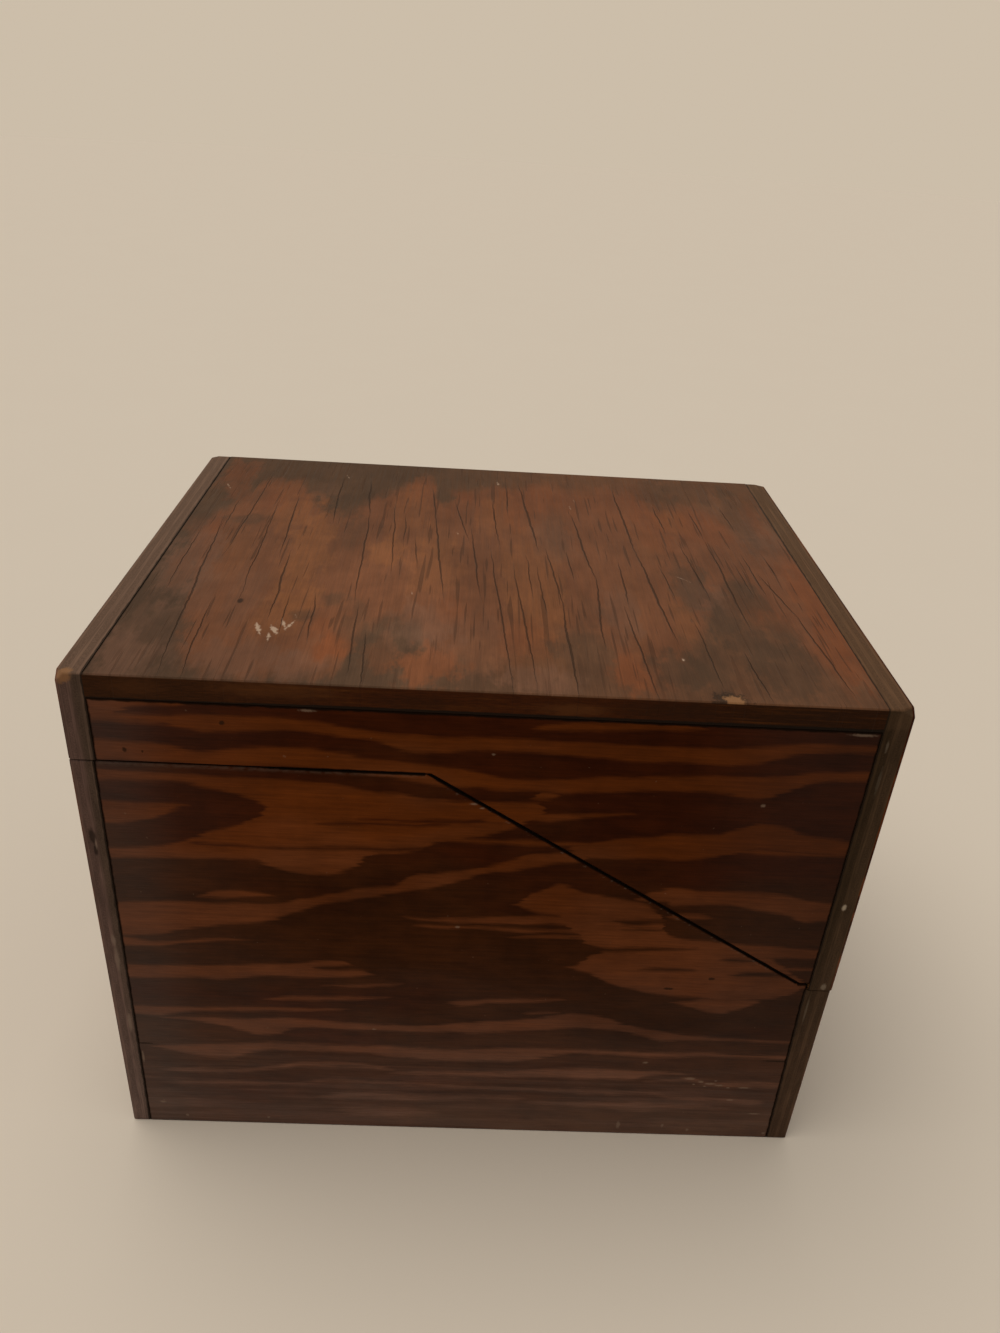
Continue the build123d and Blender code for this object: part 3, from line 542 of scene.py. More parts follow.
def spot_recipe(tree, colour, tint, first, second, centre_first, centre_second, half_first, half_second,
                softness, wobble, strength):
    """Tints a colour in a soft oval.

    The reach is the root of the sum of the two offsets squared, each as a share of its half length.
    """
    across = (first - centre_first).maths("DIVIDE", half_first)
    along = (second - centre_second).maths("DIVIDE", half_second)
    reach = (across.square() + along.square()).maths("SQRT") + wobble
    share = reach.ramp(softness + 1.0, 1.0 - softness) * strength
    return mixed(tree, share, colour, tint)


def stroke_recipe(tree, depth, first, second, start_first, start_second, end_first, end_second, width):
    """Larger of a depth and the depth inside a slim pointed stroke, mostly along the second field.

    At a share s of its run the stroke's half width is two times its width, times s, times one less s.
    """
    share = (second - start_second).maths("DIVIDE", end_second - start_second)
    middle = share * (end_first - start_first) + start_first
    taper = share * (1.0 - share) * (width * 2.0)
    return depth.most(taper - (first - middle).size())


class Finish:
    """A material on Object coordinates, with its place on the box in millimetres as fields."""

    def __init__(self, name):
        self.material = bpy.data.materials.new(name)
        self.material.use_nodes = True
        self.tree = self.material.node_tree
        self.tree.nodes.clear()
        output = self.tree.nodes.new("ShaderNodeOutputMaterial")
        self.shader = self.tree.nodes.new("ShaderNodeBsdfPrincipled")
        self.tree.links.new(self.shader.outputs[0], output.inputs["Surface"])
        spot = self.tree.nodes.new("ShaderNodeTexCoord").outputs["Object"]
        self.place = self.vector("MULTIPLY_ADD", spot, (MILLIMETRES, -MILLIMETRES, MILLIMETRES),
                                 (CASE_WIDTH / 2, CASE_DEPTH / 2, 0.0))
        parts = self.tree.nodes.new("ShaderNodeSeparateXYZ")
        feed(self.tree, parts.inputs[0], self.place)
        self.across, self.back, self.height = (Field(self.tree, out) for out in parts.outputs)

    def vector(self, operation, *values):
        """One Vector Math node."""
        node = self.tree.nodes.new("ShaderNodeVectorMath")
        node.operation = operation
        for place, value in zip(node.inputs, values):
            feed(self.tree, place, value)
        return node.outputs[0]

    def noise(self, stretch, shift, detail, roughness=0.5):
        """Noise from 0 to 1 with so many features to a millimetre across, back and up."""
        node = self.tree.nodes.new("ShaderNodeTexNoise")
        spot = self.vector("MULTIPLY_ADD", self.place, stretch, (shift, shift * 1.7, shift * 0.6))
        feed(self.tree, node.inputs["Vector"], spot)
        node.inputs["Scale"].default_value = 1.0
        node.inputs["Detail"].default_value = detail
        node.inputs["Roughness"].default_value = roughness
        return Field(self.tree, node.outputs[0])

    def waver(self, amount, *noise):
        """Noise round zero, with the amount as its full range."""
        return (self.noise(*noise) - 0.5) * amount

    def line_noise(self, value, shift, detail):
        """Noise from 0 to 1 along one field."""
        node = self.tree.nodes.new("ShaderNodeTexNoise")
        node.noise_dimensions = "1D"
        feed(self.tree, node.inputs["W"], value + shift)
        node.inputs["Scale"].default_value = 1.0
        node.inputs["Detail"].default_value = detail
        return Field(self.tree, node.outputs[0])

    def blend(self, share, first, second):
        """Colour that goes from first to second with the share."""
        return mixed(self.tree, share, first, second)

    def scale(self, colour, amount):
        """A colour made lighter or darker by a field."""
        node = self.tree.nodes.new("ShaderNodeVectorMath")
        node.operation = "SCALE"
        feed(self.tree, node.inputs[0], colour)
        feed(self.tree, node.inputs[3], amount)
        return node.outputs[0]

    def grouped(self, group, *values):
        """One node of a group, with its inputs in order."""
        node = self.tree.nodes.new("ShaderNodeGroup")
        node.node_tree = group
        for place, value in zip(node.inputs, values):
            feed(self.tree, place, value)
        return node.outputs[0]

    def light_and_shade_ovals(self, second, ovals):
        """Sum of ovals of painted light and shade, which each fall smoothly from their strength in the
        middle to 0 at the rim.

        An oval is its centre and half lengths, from the back and along the second field, and a strength.
        """
        total = 0.0
        for centre, centre_second, half, half_second, strength in ovals:
            forward = (self.back - centre) * (1 / half)
            along = (second - centre_second) * (1 / half_second)
            total = (forward.square() + along.square()).ramp(1.0, 0.0) * strength + total
        return total

    def spot(self, colour, tint, second, oval, strength, softness, wobble):
        """A colour tinted in a soft oval, which is given as for glows but without the strength."""
        titles = ("Colour", "Tint", "First", "Second", "Centre first", "Centre second",
                  "Half first", "Half second", "Softness", "Wobble", "Strength")
        group = node_group("soft_oval", titles, "Colour", spot_recipe)
        return self.grouped(group, colour, tint, self.back, second, *oval, softness, wobble, strength)

    def spots(self, colour, tint, second, ovals, share, softness, wobble):
        """A colour tinted in some soft ovals, each by its own strength times the share."""
        for *oval, strength in ovals:
            colour = self.spot(colour, tint, second, oval, strength * share, softness, wobble)
        return colour

    def strokes(self, first, second, lines):
        """Depth inside the deepest of some pointed strokes, in millimetres, and negative outside them."""
        titles = ("Depth", "First", "Second", "Start first", "Start second",
                  "End first", "End second", "Width")
        group = node_group("pointed_stroke", titles, "Depth", stroke_recipe)
        depth = -9.0
        for start, end, width in lines:
            depth = self.grouped(group, depth, first, second, *start, *end, width)
        return Field(self.tree, depth)

    def bump(self, height, distance):
        """Tilts the surface by a height field whose full range is the distance, in metres."""
        node = self.tree.nodes.new("ShaderNodeBump")
        node.inputs["Strength"].default_value = 1.0
        node.inputs["Distance"].default_value = distance
        feed(self.tree, node.inputs["Height"], height)
        self.tree.links.new(node.outputs[0], self.shader.inputs["Normal"])

    def set(self, **values):
        """Sets plain numbers or fields on the shader's sockets, by name with underscores for spaces."""
        for name, value in values.items():
            feed(self.tree, self.shader.inputs[name.replace("_", " ")], value)


def closed_tips(band):
    """The band's edge points, with a crossed pair added beyond each pointed end, so that it closes."""
    band = list(band)
    for end, outward in ((0, -1), (-1, 1)):
        back, low, high = band[end]
        at_panel_end = back <= BACK_SEAM + 1 or back >= FRONT_SEAM - 2
        if not at_panel_end:
            middle = (low + high) / 2
            tip = (back + outward * BAND_TIP_RUN, middle + BAND_TIP_CLOSE, middle - BAND_TIP_CLOSE)
            band.insert(0 if end == 0 else len(band), tip)
    return band


def band_depth(back, height, band):
    """Depth inside a band's two edge lines. Back is a share of the box's depth, the rest of its height."""
    points = closed_tips(band)
    low = back.curve([(place / CASE_DEPTH, lower / CASE_HEIGHT) for place, lower, upper in points])
    high = back.curve([(place / CASE_DEPTH, upper / CASE_HEIGHT) for place, lower, upper in points])
    return (height - low).least(high - height)


def placed_figure(wood):
    """Depth inside the light wood of the left side, from its listed bands and a fibrous wobble."""
    sway = wood.waver(2.6, (0.0, 0.035, 0.11), 3.1, 2.0)
    fibre = wood.waver(1.7, (0.0, 0.11, 1.3), 7.7, 2.0, 0.6)
    slide = wood.waver(6.0, (0.0, 0.12, 0.9), 5.3, 1.0)
    height = (wood.height + sway + fibre * wood.height.ramp(70.0, 20.0, 1.0, 2.0)) * (1 / CASE_HEIGHT)
    back = (wood.back + slide) * (1 / CASE_DEPTH)
    depth = band_depth(back, height, LIGHT_BANDS[0])
    for band in LIGHT_BANDS[1:]:
        depth = depth.most(band_depth(back, height, band))
    for band in DARK_BANDS:
        depth = depth.least(band_depth(back, height, band) * -1.0)
    for band in INNER_LIGHT_BANDS:
        depth = depth.most(band_depth(back, height, band))
    return depth * wood.height.ramp(8.0, 60.0, 0.42, 1.0) * CASE_HEIGHT


def stretched(along, slow, up, fast, rest=0.0):
    """Features to a millimetre on the three axes: few along the grain and many up across it."""
    stretch = [rest, rest, rest]
    stretch[along], stretch[up] = slow, fast
    return stretch


def grown_figure(wood, along, up, seed):
    """Depth inside light wood on a veneer that isn't in view: levels of a rolling field give the bands."""
    roll = wood.waver(120, stretched(along, 0.0055, up, 0.011), seed, 1.0)
    sway = wood.waver(9, stretched(along, 0.02, up, 0.06), seed + 4.0, 2.0)
    fibre = wood.waver(2.0, stretched(along, 0.11, up, 1.3), seed + 8.0, 2.0, 0.6)
    level = (wood.across, wood.back, wood.height)[up] + roll + sway + fibre
    return (wood.line_noise(level * 0.062, seed, 2.0) - 0.5) * 22


def fibres(wood, along, up, seed):
    """Coarse and fine streaks along the grain, from 0 to 1."""
    coarse = wood.noise(stretched(along, 0.03, up, 0.9, 1.0), seed, 3.0, 0.6)
    fine = wood.noise(stretched(along, 0.09, up, 3.0, 2.0), seed + 2.0, 3.0, 0.65)
    return coarse, fine


def ply_layers(wood, depth, along, seed):
    """Tone of a plywood edge, from the depth below the outer face: end-grain plies are darker."""
    ply = depth * (PLY_COUNT / PANEL_THICKNESS)
    wave = (ply * math.pi).maths("SINE").size()
    glue = wave.ramp(0.0, 0.3)
    parity = (ply * 0.5).maths("FRACT").ramp(0.46, 0.54)
    stretch = [1.6, 1.6, 1.6]
    stretch[along] = 0.05
    long_grain = wood.noise(stretch, seed, 3.0, 0.6)
    end_grain = wood.noise((1.8, 1.8, 1.8), seed + 5.0, 3.0, 0.7)
    grain = long_grain * (1.0 - parity) + end_grain * parity
    tone = grain.ramp(0.25, 0.75, 0.72, 1.25) * parity.ramp(0.0, 1.0, 1.07, 0.91)
    return tone * glue.ramp(0.0, 1.0, 0.84, 1.0)


def base_seams(wood):
    """Distances from the back face to the back and the front seam, at each height."""
    back_seam = (wood.height * BACK_SEAM_LEAN + BACK_SEAM_FOOT).least(BACK_SEAM_LIMIT)
    back_seam = back_seam + wood.height.ramp(SPLIT_HEIGHT - 0.05, SPLIT_HEIGHT + 0.05) * BACK_LID_STEP
    front_seam = FRONT_SEAM_FOOT - wood.height.least(FRONT_SEAM_HEIGHT) * FRONT_SEAM_LEAN
    lid_part = wood.height.ramp(FRONT_SEAM_HEIGHT - 0.1, FRONT_SEAM_HEIGHT + 0.1)
    return back_seam, front_seam + lid_part * FRONT_LID_STEP


def above_slope(wood):
    """Height above the sloping run of the saw cut."""
    return (wood.height - SPLIT_HEIGHT) + (wood.back - SLOPE_START[0]) * SLOPE_RISE


def light_share(depth):
    """Share of light wood from the depth inside it: the bands have soft rims about 2 mm wide."""
    return depth.ramp(-0.85, 1.2)


def streaks(coarse, fine):
    """Lighter and darker streaks along the grain, round 1."""
    return coarse.ramp(0.28, 0.72, 0.88, 1.11) * fine.ramp(0.3, 0.7, 0.92, 1.08)


def past_inner_face(depth, thickness):
    """1 on the inner face of a board, from the depth below its outer face."""
    return (depth - thickness).ramp(-0.15, -0.05)


def between_side_faces(wood):
    """1 everywhere but on the left and right faces of the box."""
    return wood.across.ramp(0.2, 0.5) * (CASE_WIDTH - wood.across).ramp(0.2, 0.5)


def stained_faces(wood, depth, stain, edge, inner, inside):
    """Stain on the outer skin, plies on the edges below it, and the inner face's colour by its share."""
    colour = wood.blend(depth.ramp(FACE_SKIN - SKIN_BLEND, FACE_SKIN + SKIN_BLEND), stain, edge)
    return wood.blend(inner, colour, inside)


def stain_colours(wood, colours, depth, seed):
    """Stained face colour from the depth inside the light wood, mottled and streaked along the grain."""
    patches = wood.noise((0.02, 0.012, 0.03), seed + 1.5, 2.0)
    mottle = wood.noise((0.09, 0.05, 0.14), seed + 4.5, 3.0, 0.6)
    upright = wood.noise((0.16, 0.16, 0.03), seed + 9.5, 2.0)
    mottle = mottle * 0.82 + upright * 0.18
    ashen = wood.height.ramp(70.0, 20.0, 0.0, 0.45)
    olive = [shift * part for shift, part in zip(OLIVE_SHIFT, colours.dark_wood)]
    brick = [shift * part for shift, part in zip(BRICK_SHIFT, colours.light_wood)]
    share = (patches + wood.height.ramp(175.0, 110.0, -0.16, 0.14)).ramp(0.36, 0.62)
    dark = wood.blend(ashen, wood.blend(share, colours.dark_wood, olive), FOOT_DARK_WOOD)
    pale = wood.blend(ashen, wood.blend(share, colours.light_wood, brick), FOOT_LIGHT_WOOD)
    dark = wood.scale(dark, mottle.ramp(0.3, 0.7, 0.78, 1.24) * depth.ramp(-9.0, 0.0, 1.06, 0.94))
    pale = wood.scale(pale, mottle.ramp(0.3, 0.7, 0.84, 1.14) * depth.ramp(0.0, 9.0, 0.96, 1.14))
    return wood.blend(light_share(depth), dark, pale)


def inside_colours(wood, colours, along, up, seed):
    """Colour of an inner face, with its own figure."""
    light = light_share(grown_figure(wood, along, up, seed))
    return wood.blend(light, colours.inside_dark, colours.inside_wood)


def dust(wood, seed, low, high):
    """Share of dust and rubbing, which grows towards the floor and comes in clouds along the grain. In the
    film over the stain it also carries a painted sheen.
    """
    return (wood.height + wood.waver(36, (0.02, 0.02, 0.05), seed, 3.0, 0.6)).ramp(low, high)


def side_seams(wood, seed):
    """Share of dark gap on a side's face, along the seams and the saw cut's level run, slope and ledge."""
    back_seam, front_seam = base_seams(wood)
    seam = (wood.back - back_seam).size().least((wood.back - front_seam).size()) * 0.8
    seam = seam.least((wood.height - TOP_SEAM + 0.15).size() * 0.7)
    seam = seam.least((wood.height - SLOPE_END[1]).size() * 0.55 + wood.back.ramp(255.0, 253.0, 0.0, 4.0))
    slope = above_slope(wood).size() * SLOPE_COSINE
    slope = slope + wood.back.ramp(112.0, 118.0, 4.0, -0.25) + wood.back.ramp(254.0, 257.0, 0.0, 4.0)
    level = (wood.height - SPLIT_HEIGHT).size() + wood.back.ramp(45.0, 75.0, 0.6, -0.2)
    level = level + wood.back.ramp(114.0, 116.0, 0.0, 4.0)
    seam = seam.least(slope).least(level) + wood.waver(0.7, (0.0, 0.25, 0.25), seed + 15.0, 2.0)
    return seam.ramp(0.75, 0.25)


def stained_side(name, colours, figure, seed, depth_of, marks):
    """Finish of a side panel.

    figure gives the depth inside the light wood, depth_of the depth below the outer face, and marks adds
    what shows on that side alone.
    """
    wood = Finish(name)
    depth = depth_of(wood)
    figure_depth = figure(wood)
    light = light_share(figure_depth)
    coarse, fine = fibres(wood, 1, 2, seed)
    streak = streaks(coarse, fine)
    stain = wood.scale(stain_colours(wood, colours, figure_depth, seed), streak)
    lines = wood.noise((0.0, 0.012, 0.34), seed + 5.5, 2.0).ramp(0.42, 0.62) * wood.height.ramp(62.0, 28.0)
    stain = wood.scale(stain, lines * 0.24 + 0.98)
    # Darker towards the back end, where the film below grows too
    rubbed = wood.back.ramp(36.0, 13.0)
    stain = wood.scale(stain, 1.0 - rubbed * 0.15)

    # Film of dust with a painted sheen: the pale floor's reflection painted into the colour, growing
    # towards the floor and towards both ends
    dust_and_sheen_share = dust(wood, seed + 6.0, 106.0, 40.0) * 0.74 + dust(wood, seed + 6.5, 50.0, 0.0) * 0.68
    near_back = (wood.back + wood.waver(40, (0.0, 0.0, 0.02), seed + 7.0, 2.0)).ramp(80.0, 0.0) * 0.28
    near_back = near_back + rubbed * wood.height.ramp(10.0, 60.0, 0.15, 0.42)
    near_front = wood.back.ramp(195.0, 245.0) * wood.height.ramp(50.0, 100.0, 0.04, 0.3)
    film = dust_and_sheen_share * (light * 0.5 + lines * 0.3 + 0.74) + near_back + near_front
    film = film * fine.ramp(0.3, 0.7, 0.85, 1.15)
    stain = marks(wood, wood.vector("ADD", stain, wood.scale(colours.dust_and_sheen_film, film)))
    seam = side_seams(wood, seed)
    stain = wood.blend(seam * 0.94, stain, SAW_DARK)

    edge = wood.blend(depth.ramp(0.5, 8.0), colours.edge_wood, SAWN_PLY)
    edge = wood.scale(edge, ply_layers(wood, depth, 1, seed + 11.0))
    soaked = depth + (coarse - 0.5) * 2.0
    edge = wood.blend(soaked.ramp(3.0, 1.2) * 0.9, edge, SEAM_DARK)
    inside = wood.scale(inside_colours(wood, colours, 1, 2, seed + 20.0), streak)
    inner = past_inner_face(depth, PANEL_THICKNESS)
    wood.set(Base_Color=stained_faces(wood, depth, stain, edge, inner, inside),
             Specular_IOR_Level=0.02,
             Roughness=coarse.ramp(0.2, 0.8, 0.34, 0.48) + dust_and_sheen_share * 0.2 + seam * 0.4)
    wood.bump(light * 0.3 + coarse * 0.35 + fine * 0.35, 0.00012)
    return wood.material


def left_side_marks(wood, stain):
    """Painted light and shade, the rubbed foot with painted bounce light, the worn rim with a painted
    highlight, nail dots, pale specks and scuffs of the left side.
    """
    # Painted shade, darker towards the front, and ovals of painted light and shade, among them a painted
    # bounce light along the foot
    shade = wood.back.ramp(100.0, 190.0) * 0.15 + wood.back.ramp(205.0, 255.0) * 0.18
    shade = shade * wood.height.ramp(35.0, 75.0, 0.1, 1.0)
    stain = wood.scale(stain, wood.light_and_shade_ovals(wood.height, SIDE_PAINTED_LIGHT_AND_SHADE) + 1.0 - shade)
    # Pale rubbed foot in clouds along the grain, with painted bounce light off the floor
    clouds = wood.noise((0.0, 0.03, 0.09), 58.0, 3.0, 0.6).ramp(0.3, 0.65, 0.3, 1.0)
    worn = clouds * wood.height.ramp(24.0, 4.0) * wood.back.ramp(40.0, 150.0, 0.06, 0.4)
    stain = wood.blend(worn, stain, FOOT_WEAR_AND_BOUNCE_LIGHT)
    ragged = wood.noise((0.0, 0.4, 1.2), 61.0, 3.0, 0.6)
    # Worn rim under the level run of the saw cut, with a painted highlight of its rounded edge
    rim = wood.height.ramp(175.4, 177.2) * wood.height.ramp(177.9, 177.5) * wood.back.ramp(117.0, 112.0)
    stain = wood.blend(rim * ragged.ramp(0.3, 0.6) * 0.3, stain, RIM_WEAR_AND_HIGHLIGHT)
    slope = above_slope(wood)
    lip = slope.ramp(-2.4, -1.0) * slope.ramp(0.6, -0.6) * wood.back.ramp(118.0, 124.0)
    stain = wood.blend(lip * ragged.ramp(0.54, 0.66) * 0.4, stain, LIP_RUBBED)
    wobble = wood.waver(1.2, (0.0, 1.1, 1.1), 64.0, 2.0)
    for oval in SIDE_DOTS:
        stain = wood.spot(stain, NAIL_DARK, wood.height, oval, 0.75, 0.4, wobble)
    for oval in SIDE_SPECKS:
        stain = wood.spot(stain, SPECK_PALE, wood.height, oval, 0.38, 0.6, wobble)
    grit = wood.noise((0.0, 0.5, 0.5), 67.0, 1.0).ramp(0.775, 0.81)
    return wood.blend(grit * 0.15, stain, GRIT_PALE)


def plain_marks(wood, stain):
    """A little pale grit, for a side that isn't in view."""
    grit = wood.noise((0.5, 0.5, 0.5), 167.0, 1.0).ramp(0.775, 0.81)
    return wood.blend(grit * 0.4, stain, GRIT_PALE)


def stained_board(wood, colours, seed, depth, thickness, tones, marks):
    """Finish of a front or back board, whose face grain runs across the box.

    depth is measured below the outer face, tones are those of the ends, and marks adds what shows there.
    """
    figure_depth = grown_figure(wood, 0, 2, seed)
    light = light_share(figure_depth)
    coarse, fine = fibres(wood, 0, 2, seed)
    streak = streaks(coarse, fine)
    stain = wood.scale(stain_colours(wood, colours, figure_depth, seed), streak)
    # Film of dust with a painted sheen of the floor's reflection, growing towards the floor
    stain = wood.vector("ADD", stain, wood.scale(colours.dust_and_sheen_film, dust(wood, seed + 6.0, 150.0, -20.0)))

    outer_ply, inner_ply, foot_ply, crown_ply = tones
    lean = wood.waver(2.0, (0.0, 0.0, 0.02), seed + 17.0, 2.0)
    end = wood.blend((depth + lean).ramp(3.6, 6.2), outer_ply, inner_ply)
    end = wood.blend(dust(wood, seed + 3.0, 130.0, 0.0) * 0.8, end, foot_ply)
    rub = wood.noise((0.3, 0.3, 0.06), seed + 18.0, 4.0, 0.65)
    end = wood.scale(end, ply_layers(wood, depth, 2, seed + 11.0) * rub.ramp(0.3, 0.7, 0.82, 1.18))
    crown = wood.scale(crown_ply, ply_layers(wood, depth, 0, seed + 13.0))
    end = wood.blend(wood.height.ramp(CASE_HEIGHT - 0.8, CASE_HEIGHT - 0.2), end, crown)
    end = marks(wood, end)
    seam = depth + wood.waver(0.8, (0.25, 0.25, 0.25), seed + 19.0, 2.0) - thickness
    end = wood.blend(seam.ramp(-0.7, -0.3) * 0.85, end, SEAM_DARK)

    inside = wood.scale(inside_colours(wood, colours, 0, 2, seed + 20.0), streak)
    inner = between_side_faces(wood) * wood.height.ramp(CASE_HEIGHT - 0.2, CASE_HEIGHT - 0.5)
    inner = inner * past_inner_face(depth, thickness)
    wood.set(Base_Color=stained_faces(wood, depth, stain, end, inner, inside),
             Specular_IOR_Level=0.04,
             Roughness=coarse.ramp(0.2, 0.8, 0.42, 0.58))
    wood.bump(light * 0.25 + coarse * 0.35 + fine * 0.25 + rub * 0.3, 0.00016)
    return wood.material


def back_board_marks(wood, end):
    """Raw corner, gouges and rubbed spots on the left end of the back boards."""
    wobble = wood.waver(1.2, (0.3, 0.3, 0.3), 81.0, 3.0, 0.6)
    away = wood.across.square() * 0.06 + (wood.back - 2.5).square() * 0.05
    away = away + (CASE_HEIGHT - wood.height).square() * 0.04
    end = wood.blend((away + wobble * 1.4).ramp(0.8, 0.2) * 0.7, end, CORNER_BARE)
    left = wood.across.ramp(2.0, 1.0)
    end = wood.spots(end, GOUGE_DARK, wood.height, BACK_END_GOUGES, left, 0.4, wobble)
    return wood.spots(end, END_RUBBED, wood.height, BACK_END_RUBS, left, 0.6, wobble)


def front_board_marks(wood, end):
    """White fleck, chip and rubbed line on the left end of the front boards."""
    wobble = wood.waver(1.2, (0.6, 0.6, 0.6), 84.0, 3.0, 0.6)
    left = wood.across.ramp(2.0, 1.0)
    end = wood.spots(end, FLECK_PALE, wood.height, FRONT_END_FLECKS, left, 0.5, wobble)
    away = (wood.height - 206.0).square() * 0.05 + wood.across.square() * 0.15
    return wood.blend((away + wobble).ramp(0.9, 0.2) * 0.1, end, CORNER_RUBBED)


def top_face(wood, colours, streak):
    """Upper face of the top: its colour, with the shares of open checks and of fine hair lines in it."""
    ragged = wood.waver(24, (0.09, 0.25, 0.0), 2.0, 3.0, 0.6)
    across = (wood.across + ragged) * (1 / CASE_HEIGHT)
    red = (band_depth(wood.back * (1 / CASE_DEPTH), across, TOP_RED_FIELD) * CASE_HEIGHT).ramp(-8.0, 10.0)
    cloud = wood.noise((0.03, 0.022, 0.0), 5.0, 3.0, 0.6)
    rust = wood.scale(colours.top_wood, cloud.ramp(0.3, 0.7, 0.86, 1.08))
    umber = wood.blend(wood.back.ramp(90.0, 190.0), wood.scale(colours.top_shadow, 1.05), TOP_UMBER)
    umber = wood.scale(umber, cloud.ramp(0.3, 0.7, 0.84, 1.14))
    colour = wood.blend(red * 0.9, umber, rust)
    wobble = wood.waver(2.8, (0.10, 0.20, 0.0), 8.0, 3.0, 0.65)
    for patches, tint in ((TOP_ORANGES, colours.top_orange), (TOP_MAUVES, colours.top_mauve),
                          (TOP_REDS, colours.top_red), (TOP_SHADOWS, colours.top_shadow)):
        colour = wood.spots(colour, tint, wood.across, patches, 0.9, 0.45, wobble)
    mottle = wood.noise((0.05, 0.22, 0.0), 10.0, 3.0, 0.6) * 0.6
    mottle = mottle + wood.noise((0.12, 0.12, 0.0), 11.0, 2.0) * 0.4
    colour = wood.scale(wood.scale(colour, mottle.ramp(0.32, 0.68, 0.88, 1.11)), streak)

    wander = wood.waver(3.0, (0.03, 0.02, 0.0), 12.0, 2.0)
    jitter = wood.waver(0.9, (0.3, 0.05, 0.0), 16.0, 2.0)
    check = wood.strokes(wood.back + wander + jitter, wood.across, TOP_CHECKS).ramp(-0.16, 0.2)
    hair = wood.noise((0.02, 0.42, 0.0), 19.0, 1.0).ramp(0.66, 0.715)
    hair = hair.most(wood.noise((0.03, 0.6, 0.0), 119.0, 1.0).ramp(0.67, 0.72))
    colour = wood.blend(hair * red.ramp(0.0, 1.0, 0.3, 0.52), colour, HAIR_DARK)
    colour = wood.blend(check * 0.74, colour, CHECK_DARK)
    # Painted light: the top made brighter in soft ovals
    colour = wood.scale(colour, wood.light_and_shade_ovals(wood.across, TOP_PAINTED_LIGHT) + 1.0)
    right_tint = wood.blend(wood.across.ramp(110.0, 190.0), WHITE, TOP_RIGHT_TINT)
    colour = wood.vector("MULTIPLY", colour, right_tint)

    rough = wood.waver(2.6, (0.7, 0.9, 0.0), 22.0, 3.0, 0.65)
    scrape = wood.strokes(wood.back, wood.across, TOP_SCUFFS) + rough
    colour = wood.blend(scrape.ramp(-0.1, 0.8) * 0.8, colour, SCUFF_PALE)
    crumb = wood.waver(2.6, (0.5, 0.5, 0.0), 23.0, 3.0, 0.65)
    colour = wood.spot(colour, CHIP_RIM, wood.across, (209.0, 1.6, 5.6, 4.0), 0.8, 0.3, crumb)
    colour = wood.spot(colour, CHIP_BARE, wood.across, (210.4, 1.2, 3.2, 2.6), 0.85, 0.25, crumb)
    colour = wood.spot(colour, KNOT_DARK, wood.across, (45.5, 54.5, 1.0, 1.8), 0.8, 0.4, 0.0)
    back_gap = (wood.back - BACK_SEAM).size() + wood.waver(0.6, (0.2, 0.2, 0.0), 25.0, 2.0)
    front_gap = (wood.back - FRONT_SEAM).size() + wood.noise((0.2, 0.2, 0.0), 28.0, 2.0) * 0.5
    closed = 1.0 - wood.across.ramp(112.0, 122.0) * wood.across.ramp(184.0, 174.0)
    seam = back_gap.ramp(0.75, 0.3).most((front_gap + closed * 0.3).ramp(0.85, 0.4))
    return wood.blend(seam * 0.85, colour, SEAM_DARK), check, hair


def top_strip(wood):
    """Colour of the top panel's side edge: a nearly black red, smeared, with a dark gap under it."""
    back_tone, middle_tone, front_tone = STRIP_TONES
    strip = wood.blend(wood.back.ramp(20.0, 110.0), back_tone, middle_tone)
    strip = wood.blend(wood.back.ramp(170.0, 230.0), strip, front_tone)
    streak = wood.noise((0.0, 0.02, 0.7), 30.0, 3.0, 0.6).ramp(0.52, 0.72)
    strip = wood.blend(streak * 0.7, strip, STRIP_STREAK)
    strip = wood.scale(strip, wood.noise((0.0, 0.25, 2.0), 33.0, 3.0, 0.6).ramp(0.3, 0.7, 0.7, 1.1))
    smear = wood.waver(1.6, (0.0, 0.2, 0.8), 34.0, 3.0, 0.6)
    strip = wood.spots(strip, STRIP_LIGHT_SMEAR, wood.height, STRIP_LIGHT_SMEARS, 1.0, 0.6, smear)
    strip = wood.spots(strip, STRIP_DARK_SMEAR, wood.height, STRIP_DARK_SMEARS, 1.0, 0.6, smear)
    above_seam = (wood.height - TOP_SEAM) + wood.waver(0.8, (0.0, 0.2, 0.0), 35.0, 2.0)
    above_seam = above_seam + wood.back.ramp(40.0, 90.0, 0.2, -0.4)
    return wood.blend(above_seam.ramp(0.9, 0.3) * 0.9, strip, GAP_DARK)


def stained_top(name, colours):
    """Finish of the top panel: worn red stain with hand marks and open checks across the box."""
    wood = Finish(name)
    depth = CASE_HEIGHT - wood.height
    coarse, fine = fibres(wood, 0, 1, 40.0)
    streak = coarse.ramp(0.25, 0.75, 0.9, 1.09) * fine.ramp(0.3, 0.7, 0.94, 1.06)
    face, check, hair = top_face(wood, colours, streak)
    inside = wood.scale(inside_colours(wood, colours, 0, 1, 60.0), streak)
    inner = between_side_faces(wood) * past_inner_face(depth, PANEL_THICKNESS)
    wood.set(Base_Color=stained_faces(wood, depth, face, top_strip(wood), inner, inside),
             Specular_IOR_Level=0.05,
             Roughness=coarse.ramp(0.2, 0.8, 0.34, 0.5))
    wood.bump(coarse * 0.35 + fine * 0.25 - check * 1.5 - hair * 0.4, 0.0002)
    return wood.material


